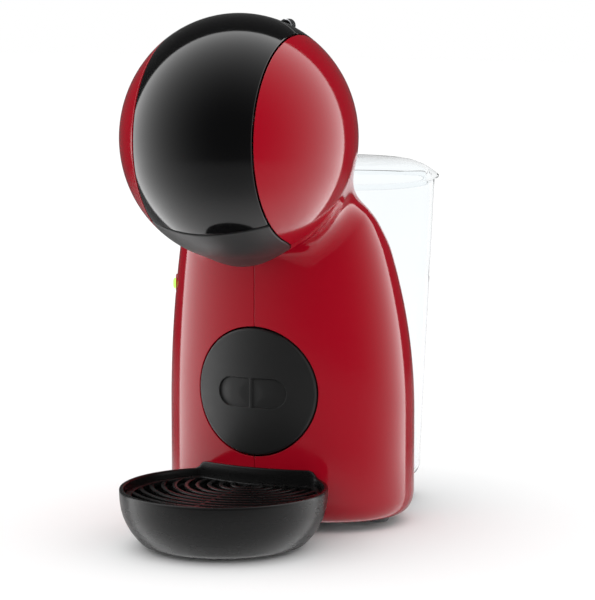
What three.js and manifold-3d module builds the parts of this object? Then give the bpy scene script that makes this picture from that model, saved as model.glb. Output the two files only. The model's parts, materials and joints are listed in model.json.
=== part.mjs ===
// Capsule coffee machine: a ball head on an oval body, with a clear water tank
// behind it and a half-round drip tray in front of it.
// Millimetres. +Z is up, the front faces -Y. The origin is on the table, under
// the middle of the machine.
import * as THREE from 'three';
import { mergeVertices } from 'three/addons/utils/BufferGeometryUtils.js';
import Module from 'manifold-3d';

const wasm = await Module();
wasm.setup();

// ---------------------------------------------------------------- sizes
// Whole machine
const TOTAL_HEIGHT = 279;
const GAP = 0.3; // between pieces that touch
const WALL = 2.4; // moulded shells

// Ball head
const HEAD_HALF_WIDTH = 62;
const HEAD_HALF_DEPTH = 66;
const HEAD_HALF_HEIGHT = 65;
const HEAD_Y = -51;
const BAND_HALF = 34.4; // half width of the black band between the red sides
const BAND_GAP = 0.6; // each side of the band

// Oval body
const BODY_HALF_WIDTH = 69.4;
const BODY_HALF_DEPTH = 48.8;
const BODY_FRONT = -33.4;
const BODY_BOTTOM = 5.4;
const BODY_SQUARENESS = 2.2; // superellipse exponent of the plan
const FOOT_ROUND = 12; // rounding of the bottom edge
const SEAM_GAP = 0.4; // between the left and right shells
const REAR_SPLIT_Y = 44.3; // the shells end here and the rear panel starts

// Front disc with its tray socket
const DISC_RADIUS = 34.5;
const DISC_Z = 76.5;
const DISC_PROUD = 5.1; // middle of the disc, in front of the body
const DISC_DOME = 4.0;
const DISC_THICK = 3.6;
const DISC_GAP = 0.7;
const SOCKET_LENGTH = 39.5;
const SOCKET_HEIGHT = 15.7;
const SOCKET_DEPTH = 1.4;
const SOCKET_RIB = 1.3;

// Brewing handle: a curved cover that swings up and back on two pins
const HANDLE_AXIS_Y = -22;
const HANDLE_EDGE_RADIUS = 43.5; // rear joint of the cover, about the pins
const HANDLE_FOOT = 47; // lower edge, below the middle of the head
const ARM_X = 31; // middle of each arm
const ARM_THICK = 3;
const ARM_WIDTH = 9;
const ARM_SLOPE = 22; // degrees that an arm points below level
const HANDLE_PIN_RADIUS = 2.6;
const PIN_CLEARANCE = 0.35;

// Capsule holder drawer
const CAPSULE_RADIUS = 25;
const CAPSULE_WALL = 2.5;
const CUP_FLOOR_RADIUS = 13;
const CAPSULE_Y = -52;
const CHIN_DEPTH = 3.4; // the holder's belly, below the ball
const OUTLET_RADIUS = 2;
const RUNNER_WIDTH = 4;
const RUNNER_HEIGHT = 4.6;

// Injector above the capsule
const INJECTOR_RADIUS = 25.6;
const INJECTOR_THICK = 7;
const INJECTOR_LIFT = 9;
const CAPSULE_STAND = 19; // the capsule's upper part, above the holder
const POST_RADIUS = 3;
const POST_X = 16;
const NEEDLE_LENGTH = 8.5;

// Water selector: a small lever on top
const LEVER_RADIUS = 38;
const LEVER_ANGLE = 26.6; // degrees from upright, toward +X at rest
const LEVER_Y = -27.5;
const KNOB_RADIUS = 3.65;
const KNOB_LENGTH = 7;

// Power button on the left side
const BUTTON_RADIUS = 5.2;
const BUTTON_LENGTH = 6.8;
const BUTTON_Y = -6;
const BUTTON_DROP = 85; // below the middle of the head
const BUTTON_PROUD = 0.9;
const BUTTON_TRAVEL = 1.5;
const LIGHT_RADIUS = 2.9;

// Water tank
const TANK_Y = 72; // middle of the oval
const TANK_HALF_WIDTH = 57;
const TANK_HALF_DEPTH = 51.5;
const TANK_TAPER = 8; // narrower at the foot
const TANK_WALL = 2;
const TANK_FLOOR = 14;
const TANK_RIM_DROP = 30; // rim, below the middle of the head
const TANK_GAP = 1.2; // to the body
const TANK_SQUARENESS = 2.2;
const LID_LIP = 2.5; // beyond the tank
const LID_HEIGHT = 11.5;
const DOCK_Y = 92;
const NECK_RADIUS = 6;
const DOCK_WALL = 3.2;

// Drip tray
const TRAY_Y = -71;
const TRAY_RADIUS = 55;
const TRAY_HEIGHT = 31.6;
const TRAY_BOTTOM = 2.2;
const TRAY_WALL = 2.4;
const TRAY_GAP = 0.8; // to the body
const TRAY_LIP = 4; // rear lip above the rim
const LEDGE_DROP = 6.6; // shelf for the grid, below the rim
const GRID_THICK = 2.4;
const SLOT_PITCH = 6.6;
const SLOT_WIDTH = 3.6;
const SLOT_COUNT = 7;

// Frame, base and feet
const BASE_THICK = 3;
const BRIDGE_HALF = 26; // from the body's floor to the floor under the tank
const CHASSIS_Y = 18;
const CHASSIS_THICK = 2.5;
const CHASSIS_HALF_WIDTH = 50;
const FLANGE_THICK = 3;
const FOOT_RADIUS = 6;
const SCREW_RADIUS = 1.5;
const SCREW_HEAD_RADIUS = 3.2;
const SCREW_CLEARANCE = 0.4;

// Pump
const PUMP_X = -30;
const PUMP_Y = -1;
const PUMP_BOTTOM = 22;
const PUMP_LENGTH = 106;
const PUMP_RADIUS = 10;
const PUMP_BORE = 6.2;
const COIL_WIDTH = 32;
const COIL_DEPTH = 30;
const COIL_HEIGHT = 38;
const COIL_BOTTOM = 52;
const PISTON_LENGTH = 28;

// Heater
const HEATER_X = 29;
const HEATER_Y = -4;
const HEATER_RADIUS = 19;
const HEATER_BOTTOM = 45;
const HEATER_LENGTH = 55;

// Water hoses
const HOSE_RADIUS = 3;

// Cord gland
const GLAND_RADIUS = 6.5;
const GLAND_NECK = 4.6;
const GLAND_BORE = 3.4;
const GLAND_Z = 24;
const GLAND_Y = 50;

// ---------------------------------------------------------------- places
const HEAD_Z = TOTAL_HEIGHT - HEAD_HALF_HEIGHT;
const SHOULDER_Z = HEAD_Z - 154; // the body starts to narrow here
const NECK_Z = HEAD_Z - 64; // and its back runs in under the head here
const BODY_TOP = HEAD_Z - 14;
const CROWN_Z = HEAD_Z - 26; // above this the body closes inside the ball
const HANDLE_AXIS_Z = HEAD_Z + 24;
const HANDLE_FOOT_Z = HEAD_Z - HANDLE_FOOT;
const HOLDER_TOP = HANDLE_FOOT_Z - 0.6;
const HOLDER_SLOT_FLOOR = HEAD_Z - HEAD_HALF_HEIGHT - CHIN_DEPTH - 0.6;
const BAND_REAR_Z = HOLDER_SLOT_FLOOR + 7; // the band ends here, behind the neck
const CUP_FLOOR = HEAD_Z - HEAD_HALF_HEIGHT + 3;
const INJECTOR_Z = HOLDER_TOP + CAPSULE_STAND;
const GUIDE_Z = INJECTOR_Z + INJECTOR_THICK + INJECTOR_LIFT + 4;
const GUIDE_THICK = 3;
const TANK_RIM = HEAD_Z - TANK_RIM_DROP;
const BASE_TOP = BODY_BOTTOM + BASE_THICK;
const FLANGE_TOP = BASE_TOP + GAP + FLANGE_THICK;
const HOLDER_HALF = BAND_HALF - BAND_GAP;
const FAR = 400; // beyond everything

// Facets of the curved pieces
const OVAL_SIDES = 24;
const EGG_AROUND = 28;
const EGG_ACROSS = 14;
const ROUND_SIDES = 14;
const HOSE_SIDES = 6;

// ---------------------------------------------------------------- helpers
function solid(geometry) {
  const g = geometry.clone();
  for (const name of ['normal', 'uv']) {
    g.deleteAttribute(name);
  }
  const merged = mergeVertices(g, 1e-5);
  const index = merged.index.array;
  const keep = [];
  for (let i = 0; i < index.length; i += 3) {
    const [a, b, c] = [index[i], index[i + 1], index[i + 2]];
    if (a !== b && b !== c && c !== a) {
      keep.push(a, b, c);
    }
  }
  return new wasm.Manifold(new wasm.Mesh({
    numProp: 3,
    vertProperties: new Float32Array(merged.attributes.position.array),
    triVerts: new Uint32Array(keep),
  }));
}

function surface(shape) {
  const mesh = shape.getMesh();
  const g = new THREE.BufferGeometry();
  g.setAttribute('position', new THREE.BufferAttribute(new Float32Array(mesh.vertProperties), 3));
  g.setIndex(new THREE.BufferAttribute(new Uint32Array(mesh.triVerts), 1));
  g.computeVertexNormals();
  return g;
}

function join(...shapes) {
  return shapes.reduce((all, next) => all.add(next));
}

function box(x0, x1, y0, y1, z0, z1) {
  const g = new THREE.BoxGeometry(x1 - x0, y1 - y0, z1 - z0);
  g.translate((x0 + x1) / 2, (y0 + y1) / 2, (z0 + z1) / 2);
  return solid(g);
}

// A round bar from z0 to z1, then turned and moved.
function bar(radius, z0, z1, at, turn, sides = ROUND_SIDES) {
  const g = new THREE.CylinderGeometry(radius, radius, z1 - z0, sides);
  g.rotateX(Math.PI / 2);
  g.translate(0, 0, (z0 + z1) / 2);
  if (turn) {
    turn(g);
  }
  g.translate(...at);
  return solid(g);
}

const alongY = (g) => g.rotateX(-Math.PI / 2); // local z becomes +Y
const alongX = (g) => g.rotateY(Math.PI / 2); // local z becomes +X

// A turned piece about Z: the profile is [radius, z] points.
function turned(profile, at, sides = ROUND_SIDES) {
  const points = profile.map(([r, z]) => new THREE.Vector2(r, z));
  const g = new THREE.LatheGeometry(points, sides);
  g.rotateX(Math.PI / 2);
  g.translate(...at);
  return solid(g);
}

// A flat outline of [y, z] points, carried along X from x0 to x1.
function sideways(outline, x0, x1) {
  const shape = new THREE.Shape(outline.map(([y, z]) => new THREE.Vector2(y, z)));
  const g = new THREE.ExtrudeGeometry(shape, { depth: x1 - x0, bevelEnabled: false });
  // local (x, y, z) becomes (y, z, x)
  g.applyMatrix4(new THREE.Matrix4().set(0, 0, 1, x0, 1, 0, 0, 0, 0, 1, 0, 0, 0, 0, 0, 1));
  return solid(g);
}

// A flat outline of [x, z] points, carried along Y from y0 to y1.
function frontways(outline, y0, y1) {
  const shape = new THREE.Shape(outline.map(([x, z]) => new THREE.Vector2(x, -z)));
  const g = new THREE.ExtrudeGeometry(shape, { depth: y1 - y0, bevelEnabled: false });
  g.rotateX(-Math.PI / 2); // local (x, y, z) becomes (x, z, -y)
  g.translate(0, y0, 0);
  return solid(g);
}

// An egg with its poles on X, so that its rings lie along the band.
function egg(halfWidth, halfDepth, halfHeight, y, z, around = EGG_AROUND, across = EGG_ACROSS) {
  const g = new THREE.SphereGeometry(1, around, across);
  g.rotateZ(Math.PI / 2);
  g.scale(halfWidth, halfDepth, halfHeight);
  g.translate(0, y, z);
  return solid(g);
}

function ovalPoint(angle, halfWidth, halfDepth, squareness) {
  const c = Math.cos(angle);
  const s = Math.sin(angle);
  const power = 2 / squareness;
  return [
    halfWidth * Math.sign(c) * Math.abs(c) ** power,
    halfDepth * Math.sign(s) * Math.abs(s) ** power,
  ];
}

// A stack of ovals: section(z) gives {halfWidth, halfDepth, y} at each level.
function loft(levels, section, squareness) {
  const g = new THREE.CylinderGeometry(1, 1, 1, OVAL_SIDES, levels.length - 1);
  const p = g.attributes.position;
  for (let i = 0; i < p.count; i += 1) {
    const step = Math.round((p.getY(i) + 0.5) * (levels.length - 1));
    const z = levels[step];
    const { halfWidth, halfDepth, y } = section(z);
    const middle = Math.hypot(p.getX(i), p.getZ(i)) < 0.5;
    const angle = Math.atan2(-p.getZ(i), p.getX(i));
    const [ox, oy] = middle ? [0, 0] : ovalPoint(angle, halfWidth, halfDepth, squareness);
    p.setXYZ(i, ox, y + oy, z);
  }
  return solid(g);
}

function steps(from, to, count) {
  return Array.from({ length: count + 1 }, (_, i) => from + ((to - from) * i) / count);
}

// A hose along a smooth curve through hand-chosen points.
function hose(points, radius = HOSE_RADIUS, count = 10) {
  const path = new THREE.CatmullRomCurve3(points.map((q) => new THREE.Vector3(...q)));
  const ring = new THREE.Shape();
  ring.absarc(0, 0, radius, 0, 2 * Math.PI, false);
  const g = new THREE.ExtrudeGeometry(ring, {
    steps: count, curveSegments: HOSE_SIDES, extrudePath: path,
  });
  return solid(g);
}

const part = new THREE.Group();

function add(name, shape, colour, roughness, metalness = 0) {
  const material = new THREE.MeshStandardMaterial({ color: colour, roughness, metalness });
  const mesh = new THREE.Mesh(surface(shape), material);
  mesh.name = name;
  part.add(mesh);
}

const RED = 0xa30d1a;
const GLOSS_BLACK = 0x101011;
const MATT_BLACK = 0x2b2c2c;
const INNER_GREY = 0x3a3c3f;
const CLEAR = 0xdfe7ea;
const STEEL = 0xb9bcbf;
const BRASS = 0xb08d4a;
const HOSE = 0xd8d4c8;

// ---------------------------------------------------------------- main forms
// Plan of the body at a height, grown outwards by `grow`.
function bodySection(z, grow = 0) {
  const over = Math.max(0, z - SHOULDER_Z);
  const under = Math.max(0, z - NECK_Z);
  const up = Math.min(1, Math.max(0, (z - BODY_BOTTOM) / FOOT_ROUND));
  const round = FOOT_ROUND * 0.6 * (1 - Math.sqrt(1 - (1 - up) ** 2));
  const close = 0.12 * Math.max(0, z - CROWN_Z) ** 2;
  const halfWidth = BODY_HALF_WIDTH - 0.00118 * over ** 2 - close - round + grow;
  const halfDepth = BODY_HALF_DEPTH - 0.0011 * over ** 2 - 0.3 * under - round + grow;
  return { halfWidth, halfDepth, y: BODY_FRONT + round + halfDepth - grow };
}

const bodyLevels = [
  ...[0, 0.1, 0.4, 1].map((share) => BODY_BOTTOM + share * FOOT_ROUND),
  ...steps(SHOULDER_Z, CROWN_Z, 6), (CROWN_Z + BODY_TOP) / 2, BODY_TOP,
];

function bodyForm(grow, low = BODY_BOTTOM) {
  const levels = low < BODY_BOTTOM ? [low, ...bodyLevels] : bodyLevels;
  return loft(levels, (z) => bodySection(z, grow), BODY_SQUARENESS);
}

// Half width of the body's plan at a depth and height.
function bodyEdge(y, z, grow = 0) {
  const s = bodySection(z, grow);
  const share = Math.abs(y - s.y) / s.halfDepth;
  return s.halfWidth * (1 - share ** BODY_SQUARENESS) ** (1 / BODY_SQUARENESS);
}

function headForm(shrink, around, across) {
  return egg(
    HEAD_HALF_WIDTH - shrink, HEAD_HALF_DEPTH - shrink, HEAD_HALF_HEIGHT - shrink,
    HEAD_Y, HEAD_Z, around, across,
  );
}

const bodyOuter = bodyForm(0);
const headOuter = headForm(0);
const headInner = headForm(WALL);
const bodyInner = bodyForm(-WALL, BODY_BOTTOM - 2);
const skin = headOuter.add(bodyOuter).subtract(headInner.add(bodyInner));
const behindBody = bodyForm(TANK_GAP, 0);
const slab = (half) => box(-half, half, -FAR, FAR, -FAR, FAR);

// The black band's room between the red shells.
const HOLDER_REAR = CAPSULE_Y + CAPSULE_RADIUS + CAPSULE_WALL;
const BELLY = { halfWidth: 30, halfDepth: 32, halfHeight: 26 + CHIN_DEPTH, y: HEAD_Y + 4 };
BELLY.z = HEAD_Z - HEAD_HALF_HEIGHT - CHIN_DEPTH + BELLY.halfHeight;

// Underside of the holder across its width, seen along its travel.
function holderFloor(x) {
  const ball = HEAD_Z - HEAD_HALF_HEIGHT * Math.sqrt(1 - (x / HEAD_HALF_WIDTH) ** 2);
  const share = Math.min(1, Math.abs(x) / BELLY.halfWidth);
  return Math.min(ball, BELLY.z - BELLY.halfHeight * Math.sqrt(1 - share ** 2));
}

const holderRoom = frontways([
  ...steps(-BAND_HALF, BAND_HALF, 12).map((x) => [x, holderFloor(x) - BAND_GAP]),
  [BAND_HALF, FAR], [-BAND_HALF, FAR],
], -FAR, HOLDER_REAR + 4);
const bandRoom = sideways([
  [HOLDER_REAR, BAND_REAR_Z], [FAR, BAND_REAR_Z], [FAR, FAR], [HOLDER_REAR, FAR],
], -BAND_HALF, BAND_HALF).add(holderRoom);
const insideShells = headForm(WALL + GAP).add(bodyForm(-WALL - GAP, BODY_BOTTOM - 2));

// ---------------------------------------------------------------- power button place
const BUTTON_Z = HEAD_Z - BUTTON_DROP;
const buttonSection = bodySection(BUTTON_Z);
const BUTTON_X = -bodyEdge(BUTTON_Y, BUTTON_Z);
function outwardAt(x, y, section) {
  const power = BODY_SQUARENESS - 1;
  const dx = Math.sign(x) * (Math.abs(x) / section.halfWidth) ** power / section.halfWidth;
  const v = (y - section.y) / section.halfDepth;
  const dy = Math.sign(v) * Math.abs(v) ** power / section.halfDepth;
  return Math.atan2(dy, dx);
}
const buttonTurn = outwardAt(BUTTON_X, BUTTON_Y, buttonSection);
const outOfSide = (angle) => (g) => g.rotateY(Math.PI / 2).rotateZ(angle);
const buttonAt = [BUTTON_X, BUTTON_Y, BUTTON_Z];

// ---------------------------------------------------------------- cord gland place
const glandX = -bodyEdge(GLAND_Y, GLAND_Z);
const glandTurn = outwardAt(glandX, GLAND_Y, bodySection(GLAND_Z));
const glandAt = [glandX, GLAND_Y, GLAND_Z];

// ---------------------------------------------------------------- red shells
function redShells() {
  const discHole = bar(DISC_RADIUS + DISC_GAP, -FAR, 0, [0, 0, DISC_Z], alongY, OVAL_SIDES);
  const buttonHole = bar(BUTTON_RADIUS + 0.4, -10, 10, buttonAt, outOfSide(buttonTurn));
  const front = box(-FAR, FAR, -FAR, REAR_SPLIT_Y, -FAR, FAR);
  const base = skin.intersect(front).subtract(bandRoom).subtract(discHole);
  const left = box(-FAR, -SEAM_GAP / 2, -FAR, FAR, -FAR, FAR);
  const right = box(SEAM_GAP / 2, FAR, -FAR, FAR, -FAR, FAR);
  add('left_shell', base.intersect(left).subtract(buttonHole), RED, 0.12);
  add('right_shell', base.intersect(right), RED, 0.12);
}

// ---------------------------------------------------------------- black covers
const edgeRound = (grow) => bar(
  HANDLE_EDGE_RADIUS + grow, -FAR, FAR, [0, HANDLE_AXIS_Y, HANDLE_AXIS_Z], alongX, 48,
);
const behindAxis = box(-FAR, FAR, HANDLE_AXIS_Y, FAR, -FAR, FAR);

function rearCover() {
  const fixed = edgeRound(-BAND_GAP / 2).add(behindAxis);
  const leverSlot = box(
    -LEVER_RADIUS * 0.6, LEVER_RADIUS * 0.6,
    LEVER_Y - KNOB_LENGTH / 2 - 1, LEVER_Y + KNOB_LENGTH / 2 + 1,
    HANDLE_AXIS_Z + 16, FAR,
  );
  const cover = skin.intersect(slab(HOLDER_HALF)).intersect(fixed)
    .intersect(box(-FAR, FAR, -FAR, FAR, BAND_REAR_Z + GAP, FAR))
    .subtract(box(-FAR, FAR, -FAR, HEAD_Y + 20, -FAR, HEAD_Z))
    .subtract(leverSlot);
  add('rear_cover', cover, GLOSS_BLACK, 0.15);
}

function rearPanel() {
  const glandHole = bar(GLAND_NECK + 0.3, -12, 12, glandAt, outOfSide(glandTurn));
  const pipeNotch = box(-5, 5, REAR_SPLIT_Y, FAR, 0, BASE_TOP + 8).add(box(
    -BRIDGE_HALF - GAP, BRIDGE_HALF + GAP, REAR_SPLIT_Y, FAR, 0, BASE_TOP + GAP));
  const panel = skin
    .intersect(box(-FAR, FAR, REAR_SPLIT_Y + GAP, FAR, -FAR, BAND_REAR_Z - GAP))
    .subtract(glandHole).subtract(pipeNotch);
  add('rear_panel', panel, MATT_BLACK, 0.5);
}

// ---------------------------------------------------------------- front disc
function frontDisc() {
  const rings = 3;
  const profile = [[0, -DISC_THICK]];
  for (let i = 0; i <= rings; i += 1) {
    const share = 1 - i / rings;
    profile.push([DISC_RADIUS * share, DISC_DOME * (1 - share ** 2)]);
  }
  profile.splice(1, 0, [DISC_RADIUS, -DISC_THICK]);
  const points = profile.map(([r, z]) => new THREE.Vector2(r, z));
  const g = new THREE.LatheGeometry(points, OVAL_SIDES);
  // the dome faces -Y, and its sides bend back with the body
  g.translate(0, DISC_PROUD - DISC_DOME - BODY_FRONT, 0);
  g.rotateX(Math.PI);
  const bend = 0.0043;
  const p = g.attributes.position;
  for (let i = 0; i < p.count; i += 1) {
    p.setY(i, p.getY(i) + bend * p.getX(i) ** 2);
  }
  g.translate(0, 0, DISC_Z);
  const face = BODY_FRONT - DISC_PROUD;
  const half = SOCKET_LENGTH / 2 - SOCKET_HEIGHT / 2;
  const deep = face + SOCKET_DEPTH;
  const round = (x) => bar(SOCKET_HEIGHT / 2, -FAR, 0, [x, deep + 0.9, DISC_Z], alongY, 24);
  const socket = join(
    round(-half), round(half),
    box(-half, half, -FAR, deep + 0.9, DISC_Z - SOCKET_HEIGHT / 2, DISC_Z + SOCKET_HEIGHT / 2),
  ).subtract(box(-SOCKET_RIB / 2, SOCKET_RIB / 2, -FAR, FAR, -FAR, FAR));
  add('front_disc', solid(g).subtract(socket), MATT_BLACK, 0.55);
}

// ---------------------------------------------------------------- brewing handle
const forward = (length, lift) => {
  const a = THREE.MathUtils.degToRad(ARM_SLOPE);
  return [
    HANDLE_AXIS_Y - length * Math.cos(a) - lift * Math.sin(a),
    HANDLE_AXIS_Z - length * Math.sin(a) + lift * Math.cos(a),
  ];
};

function handle() {
  const room = box(-HOLDER_HALF, HOLDER_HALF, -FAR, HANDLE_AXIS_Y - 2, HANDLE_FOOT_Z, FAR);
  const underEars = box(-FAR, FAR, HEAD_Y, FAR, -FAR, HEAD_Z);
  const cover = headOuter.subtract(headInner).intersect(room)
    .subtract(edgeRound(BAND_GAP / 2)).subtract(underEars);
  add('handle_cover', cover, GLOSS_BLACK, 0.1);

  const half = ARM_WIDTH / 2;
  const arm = (side) => {
    const x = side * ARM_X;
    const outline = [
      forward(0, -half), forward(FAR / 4, -half), forward(FAR / 4, half), forward(0, half),
    ];
    return join(
      sideways(outline, x - ARM_THICK / 2, x + ARM_THICK / 2),
      bar(half, -ARM_THICK / 2, ARM_THICK / 2, [x, HANDLE_AXIS_Y, HANDLE_AXIS_Z], alongX, 24),
    ).subtract(bar(
      HANDLE_PIN_RADIUS + PIN_CLEARANCE, -ARM_THICK, ARM_THICK,
      [x, HANDLE_AXIS_Y, HANDLE_AXIS_Z], alongX, 20,
    ));
  };
  const crossLength = HEAD_HALF_DEPTH * 1.14;
  const bridge = sideways([
    forward(crossLength, -half), forward(FAR / 4, -half), forward(FAR / 4, half),
    forward(crossLength, half),
  ], -ARM_X - ARM_THICK / 2, ARM_X + ARM_THICK / 2);
  const inside = headForm(WALL + GAP);
  add('handle_frame', join(arm(-1), arm(1), bridge).intersect(inside), INNER_GREY, 0.4);

  for (const side of [-1, 1]) {
    const x = side * (ARM_X + 2.2);
    const name = side < 0 ? 'hinge_pin_left' : 'hinge_pin_right';
    const pin = bar(
      HANDLE_PIN_RADIUS, -4.2, 4.2, [x, HANDLE_AXIS_Y, HANDLE_AXIS_Z], alongX, 16,
    );
    add(name, pin, STEEL, 0.25, 1);
  }
}

// ---------------------------------------------------------------- head frame
function headFrame() {
  const sideIn = BAND_HALF + GAP;
  const sideOut = sideIn + 2.2;
  const inside = headForm(WALL + GAP);
  const side = (s) => box(
    Math.min(s * sideIn, s * sideOut), Math.max(s * sideIn, s * sideOut),
    HEAD_Y - 50, HEAD_Y + 45, HEAD_Z - 42, HEAD_Z + 60,
  ).intersect(inside).subtract(bar(
    HANDLE_PIN_RADIUS + PIN_CLEARANCE, -FAR, FAR, [0, HANDLE_AXIS_Y, HANDLE_AXIS_Z], alongX,
  ));
  const wall = box(-sideOut, sideOut, HEAD_Y + 39, HEAD_Y + 42, HEAD_Z - 42, GUIDE_Z + GUIDE_THICK);
  const guide = box(-ARM_X + 4, ARM_X - 4, HEAD_Y - 28, HEAD_Y + 42, GUIDE_Z, GUIDE_Z + GUIDE_THICK);
  const postHole = (x) => bar(POST_RADIUS + 0.4, -FAR, FAR, [x, CAPSULE_Y, 0]);
  const stemHole = bar(POST_RADIUS + 0.4, -FAR, FAR, [0, CAPSULE_Y, 0]);
  const rail = (s) => box(
    Math.min(s * (HOLDER_HALF - RUNNER_WIDTH), s * sideOut),
    Math.max(s * (HOLDER_HALF - RUNNER_WIDTH), s * sideOut),
    BODY_FRONT + WALL + 1.5, HEAD_Y + 42,
    HOLDER_TOP - RUNNER_HEIGHT - GAP - 2.4, HOLDER_TOP - RUNNER_HEIGHT - GAP,
  );
  const web = (s) => box(
    Math.min(s * sideIn, s * sideOut), Math.max(s * sideIn, s * sideOut),
    BODY_FRONT + WALL + 1.5, HEAD_Y + 42,
    HOLDER_TOP - RUNNER_HEIGHT - GAP - 2.4, HEAD_Z - 41,
  );
  const frame = join(side(-1), side(1), wall, guide, rail(-1), rail(1), web(-1), web(1))
    .intersect(insideShells).subtract(postHole(-POST_X)).subtract(postHole(POST_X)).subtract(stemHole);
  add('head_frame', frame, INNER_GREY, 0.45);
}

// ---------------------------------------------------------------- capsule holder
function capsuleHolder() {
  const belly = egg(BELLY.halfWidth, BELLY.halfDepth, BELLY.halfHeight, BELLY.y, BELLY.z);
  const frontRoom = box(-HOLDER_HALF, HOLDER_HALF, -FAR, BODY_FRONT - 0.6, -FAR, HOLDER_TOP);
  const chin = headOuter.add(belly).intersect(frontRoom);
  const cupAt = [0, CAPSULE_Y, 0];
  const cup = turned([
    [0, CUP_FLOOR - 2], [CUP_FLOOR_RADIUS + CAPSULE_WALL, CUP_FLOOR - 2],
    [CAPSULE_RADIUS + CAPSULE_WALL, HOLDER_TOP], [0, HOLDER_TOP],
  ], cupAt, OVAL_SIDES);
  const cupRear = box(-FAR, FAR, CAPSULE_Y, FAR, -FAR, FAR);
  const runner = (s) => box(
    Math.min(s * (HOLDER_HALF - RUNNER_WIDTH), s * HOLDER_HALF),
    Math.max(s * (HOLDER_HALF - RUNNER_WIDTH), s * HOLDER_HALF),
    CAPSULE_Y, HEAD_Y + 37, HOLDER_TOP - RUNNER_HEIGHT, HOLDER_TOP,
  );
  const hollow = turned([
    [0, CUP_FLOOR], [CUP_FLOOR_RADIUS, CUP_FLOOR], [CAPSULE_RADIUS, HOLDER_TOP],
    [CAPSULE_RADIUS, HOLDER_TOP + 5], [0, HOLDER_TOP + 5],
  ], cupAt, OVAL_SIDES);
  const outlet = bar(OUTLET_RADIUS, 0, FAR, [0, CAPSULE_Y, 0]);
  const rim = box(
    -HOLDER_HALF, HOLDER_HALF, CAPSULE_Y, BODY_FRONT + 6, HOLDER_TOP - RUNNER_HEIGHT, HOLDER_TOP,
  );
  const holder = join(chin, cup.intersect(cupRear), runner(-1), runner(1), rim)
    .subtract(hollow).subtract(outlet);
  add('capsule_holder', holder, GLOSS_BLACK, 0.15);
}

// ---------------------------------------------------------------- injector
function injector() {
  const top = INJECTOR_Z + INJECTOR_THICK;
  const postTop = GUIDE_Z + GUIDE_THICK + 5;
  const post = (x) => bar(POST_RADIUS, top - 1, postTop, [x, CAPSULE_Y, 0], null, 14);
  const plate = join(
    bar(INJECTOR_RADIUS, INJECTOR_Z, top, [0, CAPSULE_Y, 0], null, 28),
    post(-POST_X), post(POST_X), post(0),
  );
  add('injector_plate', plate, INNER_GREY, 0.4);
  const tip = INJECTOR_Z - GAP - NEEDLE_LENGTH;
  const needle = turned([
    [0, tip], [1.2, tip + 3], [1.5, INJECTOR_Z - 2.3], [6, INJECTOR_Z - 1.8],
    [6, INJECTOR_Z - GAP], [0, INJECTOR_Z - GAP],
  ], [0, CAPSULE_Y, 0]);
  add('injector_needle', needle, STEEL, 0.2, 1);
  const seal = turned([
    [19, INJECTOR_Z - 2.6], [23.6, INJECTOR_Z - 2.6], [24.4, INJECTOR_Z - 1.4],
    [24.4, INJECTOR_Z - GAP], [19, INJECTOR_Z - GAP], [19, INJECTOR_Z - 2.6],
  ], [0, CAPSULE_Y, 0], 20);
  add('injector_seal', seal, 0x4a4b4d, 0.8);
  const bushFoot = GUIDE_Z + GUIDE_THICK + GAP;
  const bore = POST_RADIUS + 0.4;
  const bushTop = postTop + INJECTOR_LIFT + 5;
  const bush = turned([
    [bore, bushFoot], [7, bushFoot], [7, bushTop], [0, bushTop], [0, bushTop - 3],
    [bore, bushTop - 3], [bore, bushFoot],
  ], [0, CAPSULE_Y, 0]);
  add('inlet_bush', bush, BRASS, 0.3, 1);
  return { hoseZ: bushTop - 6 };
}

// ---------------------------------------------------------------- water selector
function selector() {
  const rear = LEVER_Y + 7;
  const low = HANDLE_AXIS_Z - 24;
  const body = box(-12, 12, rear, rear + 14, low, HANDLE_AXIS_Z + 8)
    .subtract(bar(3.4, -1, 6, [0, rear, HANDLE_AXIS_Z], alongY));
  add('selector_valve', body, BRASS, 0.35, 1);
  const a = THREE.MathUtils.degToRad(LEVER_ANGLE);
  const knobAt = [
    LEVER_RADIUS * Math.sin(a), LEVER_Y, HANDLE_AXIS_Z + LEVER_RADIUS * Math.cos(a),
  ];
  const stick = new THREE.BoxGeometry(5, 3, LEVER_RADIUS - 1);
  stick.translate(0, 0, (LEVER_RADIUS - 1) / 2);
  stick.rotateY(a);
  stick.translate(0, LEVER_Y, HANDLE_AXIS_Z);
  const half = KNOB_LENGTH / 2;
  const core = bar(KNOB_RADIUS - 1, -half, half, knobAt, alongY, 16);
  const hub = bar(6, -1.5, 1.5, [0, LEVER_Y, HANDLE_AXIS_Z], alongY, 16);
  const shaft = bar(3, 0, 12, [0, LEVER_Y, HANDLE_AXIS_Z], alongY, 12);
  add('selector_lever', join(solid(stick), core, hub, shaft), GLOSS_BLACK, 0.3);
  // the stick ends short of this ring, so the ring has a gap for it
  const ring = bar(KNOB_RADIUS, -half + 0.6, half - 0.6, knobAt, alongY, 16)
    .subtract(bar(KNOB_RADIUS - 1 + 0.15, -half, half, knobAt, alongY, 16));
  const gapBox = new THREE.BoxGeometry(5.8, 3.6, KNOB_RADIUS);
  gapBox.translate(0, 0, -KNOB_RADIUS / 2 - 0.9);
  gapBox.rotateY(a);
  gapBox.translate(...knobAt);
  add('selector_ring', ring.subtract(solid(gapBox)), 0xc8cacc, 0.15, 1);
  return { valveRear: rear + 14, valveFront: rear, valveZ: low + 11 };
}

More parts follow.
